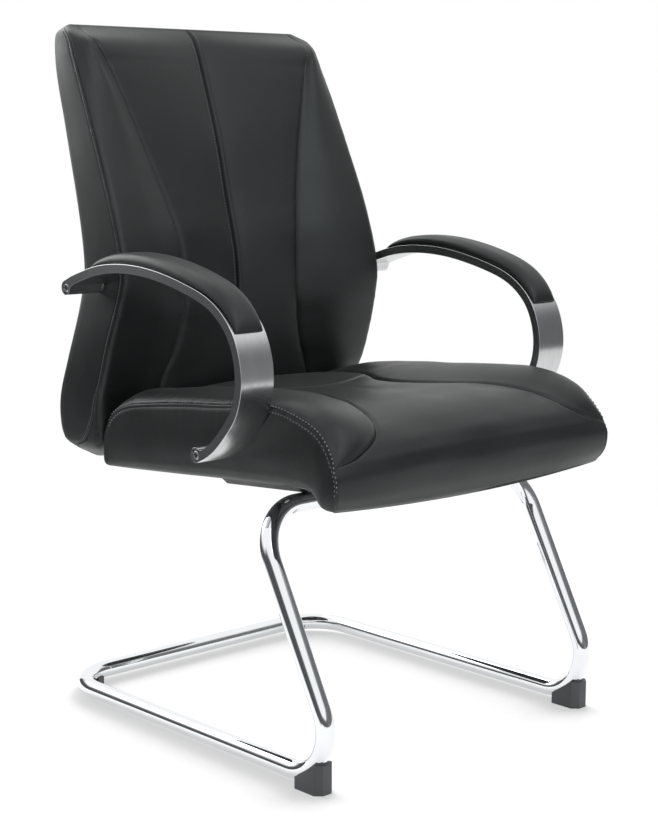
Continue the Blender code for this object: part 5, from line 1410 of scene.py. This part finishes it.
def arm_mesh(name, side):
    """Make one arm bar with rounded edges, its bolt holes, and a map that runs along it."""
    mesh = across_mesh(name, arm_outline, ARM_HALF_WIDTH, side * ARM_X)
    count = len(arm_outline)
    outer_from = count - len(outer_edge)
    rounding = mesh.attributes.new("bevel_weight_edge", "FLOAT", "EDGE")
    for edge in mesh.edges:
        first, last = edge.vertices
        if (first < count) == (last < count):
            spot = (first % count + last % count) / 2 if abs(first - last) == 1 else count - 1
            past_end = np.clip(min(spot - outer_from, count - 1 - spot) / 12, 0.0, 1.0)
            rounding.data[edge.index].value = (
                ARM_EDGE_ROUND + (ARM_OUTER_ROUND - ARM_EDGE_ROUND) * past_end) / ARM_OUTER_ROUND
    holder = in_scene(name, mesh)
    round_off = holder.modifiers.new("rounded_edges", "BEVEL")
    round_off.width = ARM_OUTER_ROUND
    round_off.segments = 5
    round_off.limit_method = "WEIGHT"
    mesh = worked_mesh(holder)
    seat_of_head = side * (ARM_X + ARM_HALF_WIDTH - ARM_BOLT_HEAD - 0.0005)
    for eye in (UPPER_EYE, LOWER_EYE):
        for hole, start, radius in (
                ("bolt_hole", side * 0.2, ARM_BOLT_RADIUS),
                ("head_hole", seat_of_head, ARM_BOLT_HEAD_RADIUS)):
            mesh = pocket_cut(mesh, round_hole(hole, eye, start, side * 0.4, radius + HOLE_EASE))
    mesh.set_sharp_from_angle(angle=math.radians(38))
    holder = in_scene(name, mesh)
    weigh = holder.modifiers.new("even_shading", "WEIGHTED_NORMAL")
    weigh.keep_sharp = True
    weigh.weight = 100
    finished = worked_mesh(holder)
    line_runs = np.linspace(0.0, arm_length, 600)
    line = arm_at(line_runs)
    spots = mesh_points(finished) - np.array(crossbar)
    nearest = np.argmin(((spots[:, None, 1:] - line[None]) ** 2).sum(axis=2), axis=1)
    off_line = np.linalg.norm(spots[:, 1:] - line[nearest], axis=1)
    lay_along_bar(finished, np.stack([line_runs[nearest], spots[:, 0] + off_line], axis=1))
    return finished


for side, side_name in ((-1, "right"), (1, "left")):
    add_piece("arm_bar_" + side_name, arm_mesh("arm_bar", side), polished, "polished_aluminium",
              "arm_" + side_name)


# Arm bolts and spacers: socket-head M8 bolts sunk in the eyes, through aluminium sleeves that keep
# the bars clear of the leather, into weld nuts on steel anchors inside the cushions.
ARM_BOLT_EASE = 0.0003
SPACER_EASE = 0.0005
for bolt in sorted(node for node in nodes if node.startswith("arm_bolt")):
    add_eased(bolt + "_socket_head", bolt, ARM_BOLT_EASE, zinc, "zinc_steel")
for spacer in sorted(node for node in nodes if node.startswith("arm_spacer")):
    sleeve = eased_copy(spacer + "_sleeve", spacer, SPACER_EASE)
    lay_along_bar(sleeve, mesh_points(sleeve)[:, (1, 0)])
    add_piece(spacer + "_sleeve", sleeve, polished, "polished_aluminium", spacer)


# Arm pads: soft polyurethane foam under the same hide, on a moulded base that two screws hold
# from under the bar. The hide is pulled round the base, so the pad's edge rolls in to the metal.
PAD_START = 0.066
PAD_LENGTH = 0.312
PAD_HALF_WIDTH = 0.0248
PAD_NARROWING = 0.0025
PAD_TUCK = 0.0016
pad_height = through(
    [0.0, 0.02, 0.06, 0.14, 0.30, 0.60, 0.80, 0.90, 0.96, 0.99, 1.0],
    [0.0032, 0.0070, 0.0102, 0.0130, 0.0145, 0.0150, 0.0140, 0.0115, 0.0080, 0.0048, 0.0030])


def pad_ring(run, side):
    """Give one closed ring of an arm pad, across the bar."""
    share = (run - PAD_START) / PAD_LENGTH
    height = pad_height(share)
    foot = ARM_THICKNESS / 2 + 0.0005
    half = PAD_HALF_WIDTH - PAD_NARROWING * max(0.0, (share - 0.6) / 0.4)
    turn = np.linspace(math.pi, 0.0, 41)
    crown = np.sign(np.cos(turn)) * np.abs(np.cos(turn)) ** 0.62 * half
    rise = np.sin(turn) ** 0.80 * height * 0.90 + height * 0.10
    x = np.concatenate([crown, np.linspace(half - PAD_TUCK, PAD_TUCK - half, 15)])
    up = np.concatenate([rise, np.zeros(15)])
    spots = arm_offset(np.full(len(x), run), foot + up)
    return np.stack([side * ARM_X + x, spots[:, 0], spots[:, 1]], axis=1)


pad_ends = 0.006 * (1 - np.cos(np.linspace(0, math.pi / 2, 9)))
pad_runs = np.concatenate([
    PAD_START + pad_ends, np.linspace(PAD_START + 0.008, PAD_START + PAD_LENGTH - 0.008, 110),
    PAD_START + PAD_LENGTH - pad_ends[::-1]])
for side, side_name in ((-1, "right"), (1, "left")):
    rings = np.array([pad_ring(run, side) for run in pad_runs]) + np.array(crossbar)
    pad = add_piece(
        "arm_pad_cover_" + side_name, ring_mesh("arm_pad", rings), cowhide, "leather",
        "arm_pad_" + side_name)
for base in sorted(node for node in nodes if node.startswith("pad_")):
    nodes[base].material_slots[0].material = zinc if "screw" in base else nylon


# Bring the scene's placements up to date.
bpy.context.view_layer.update()
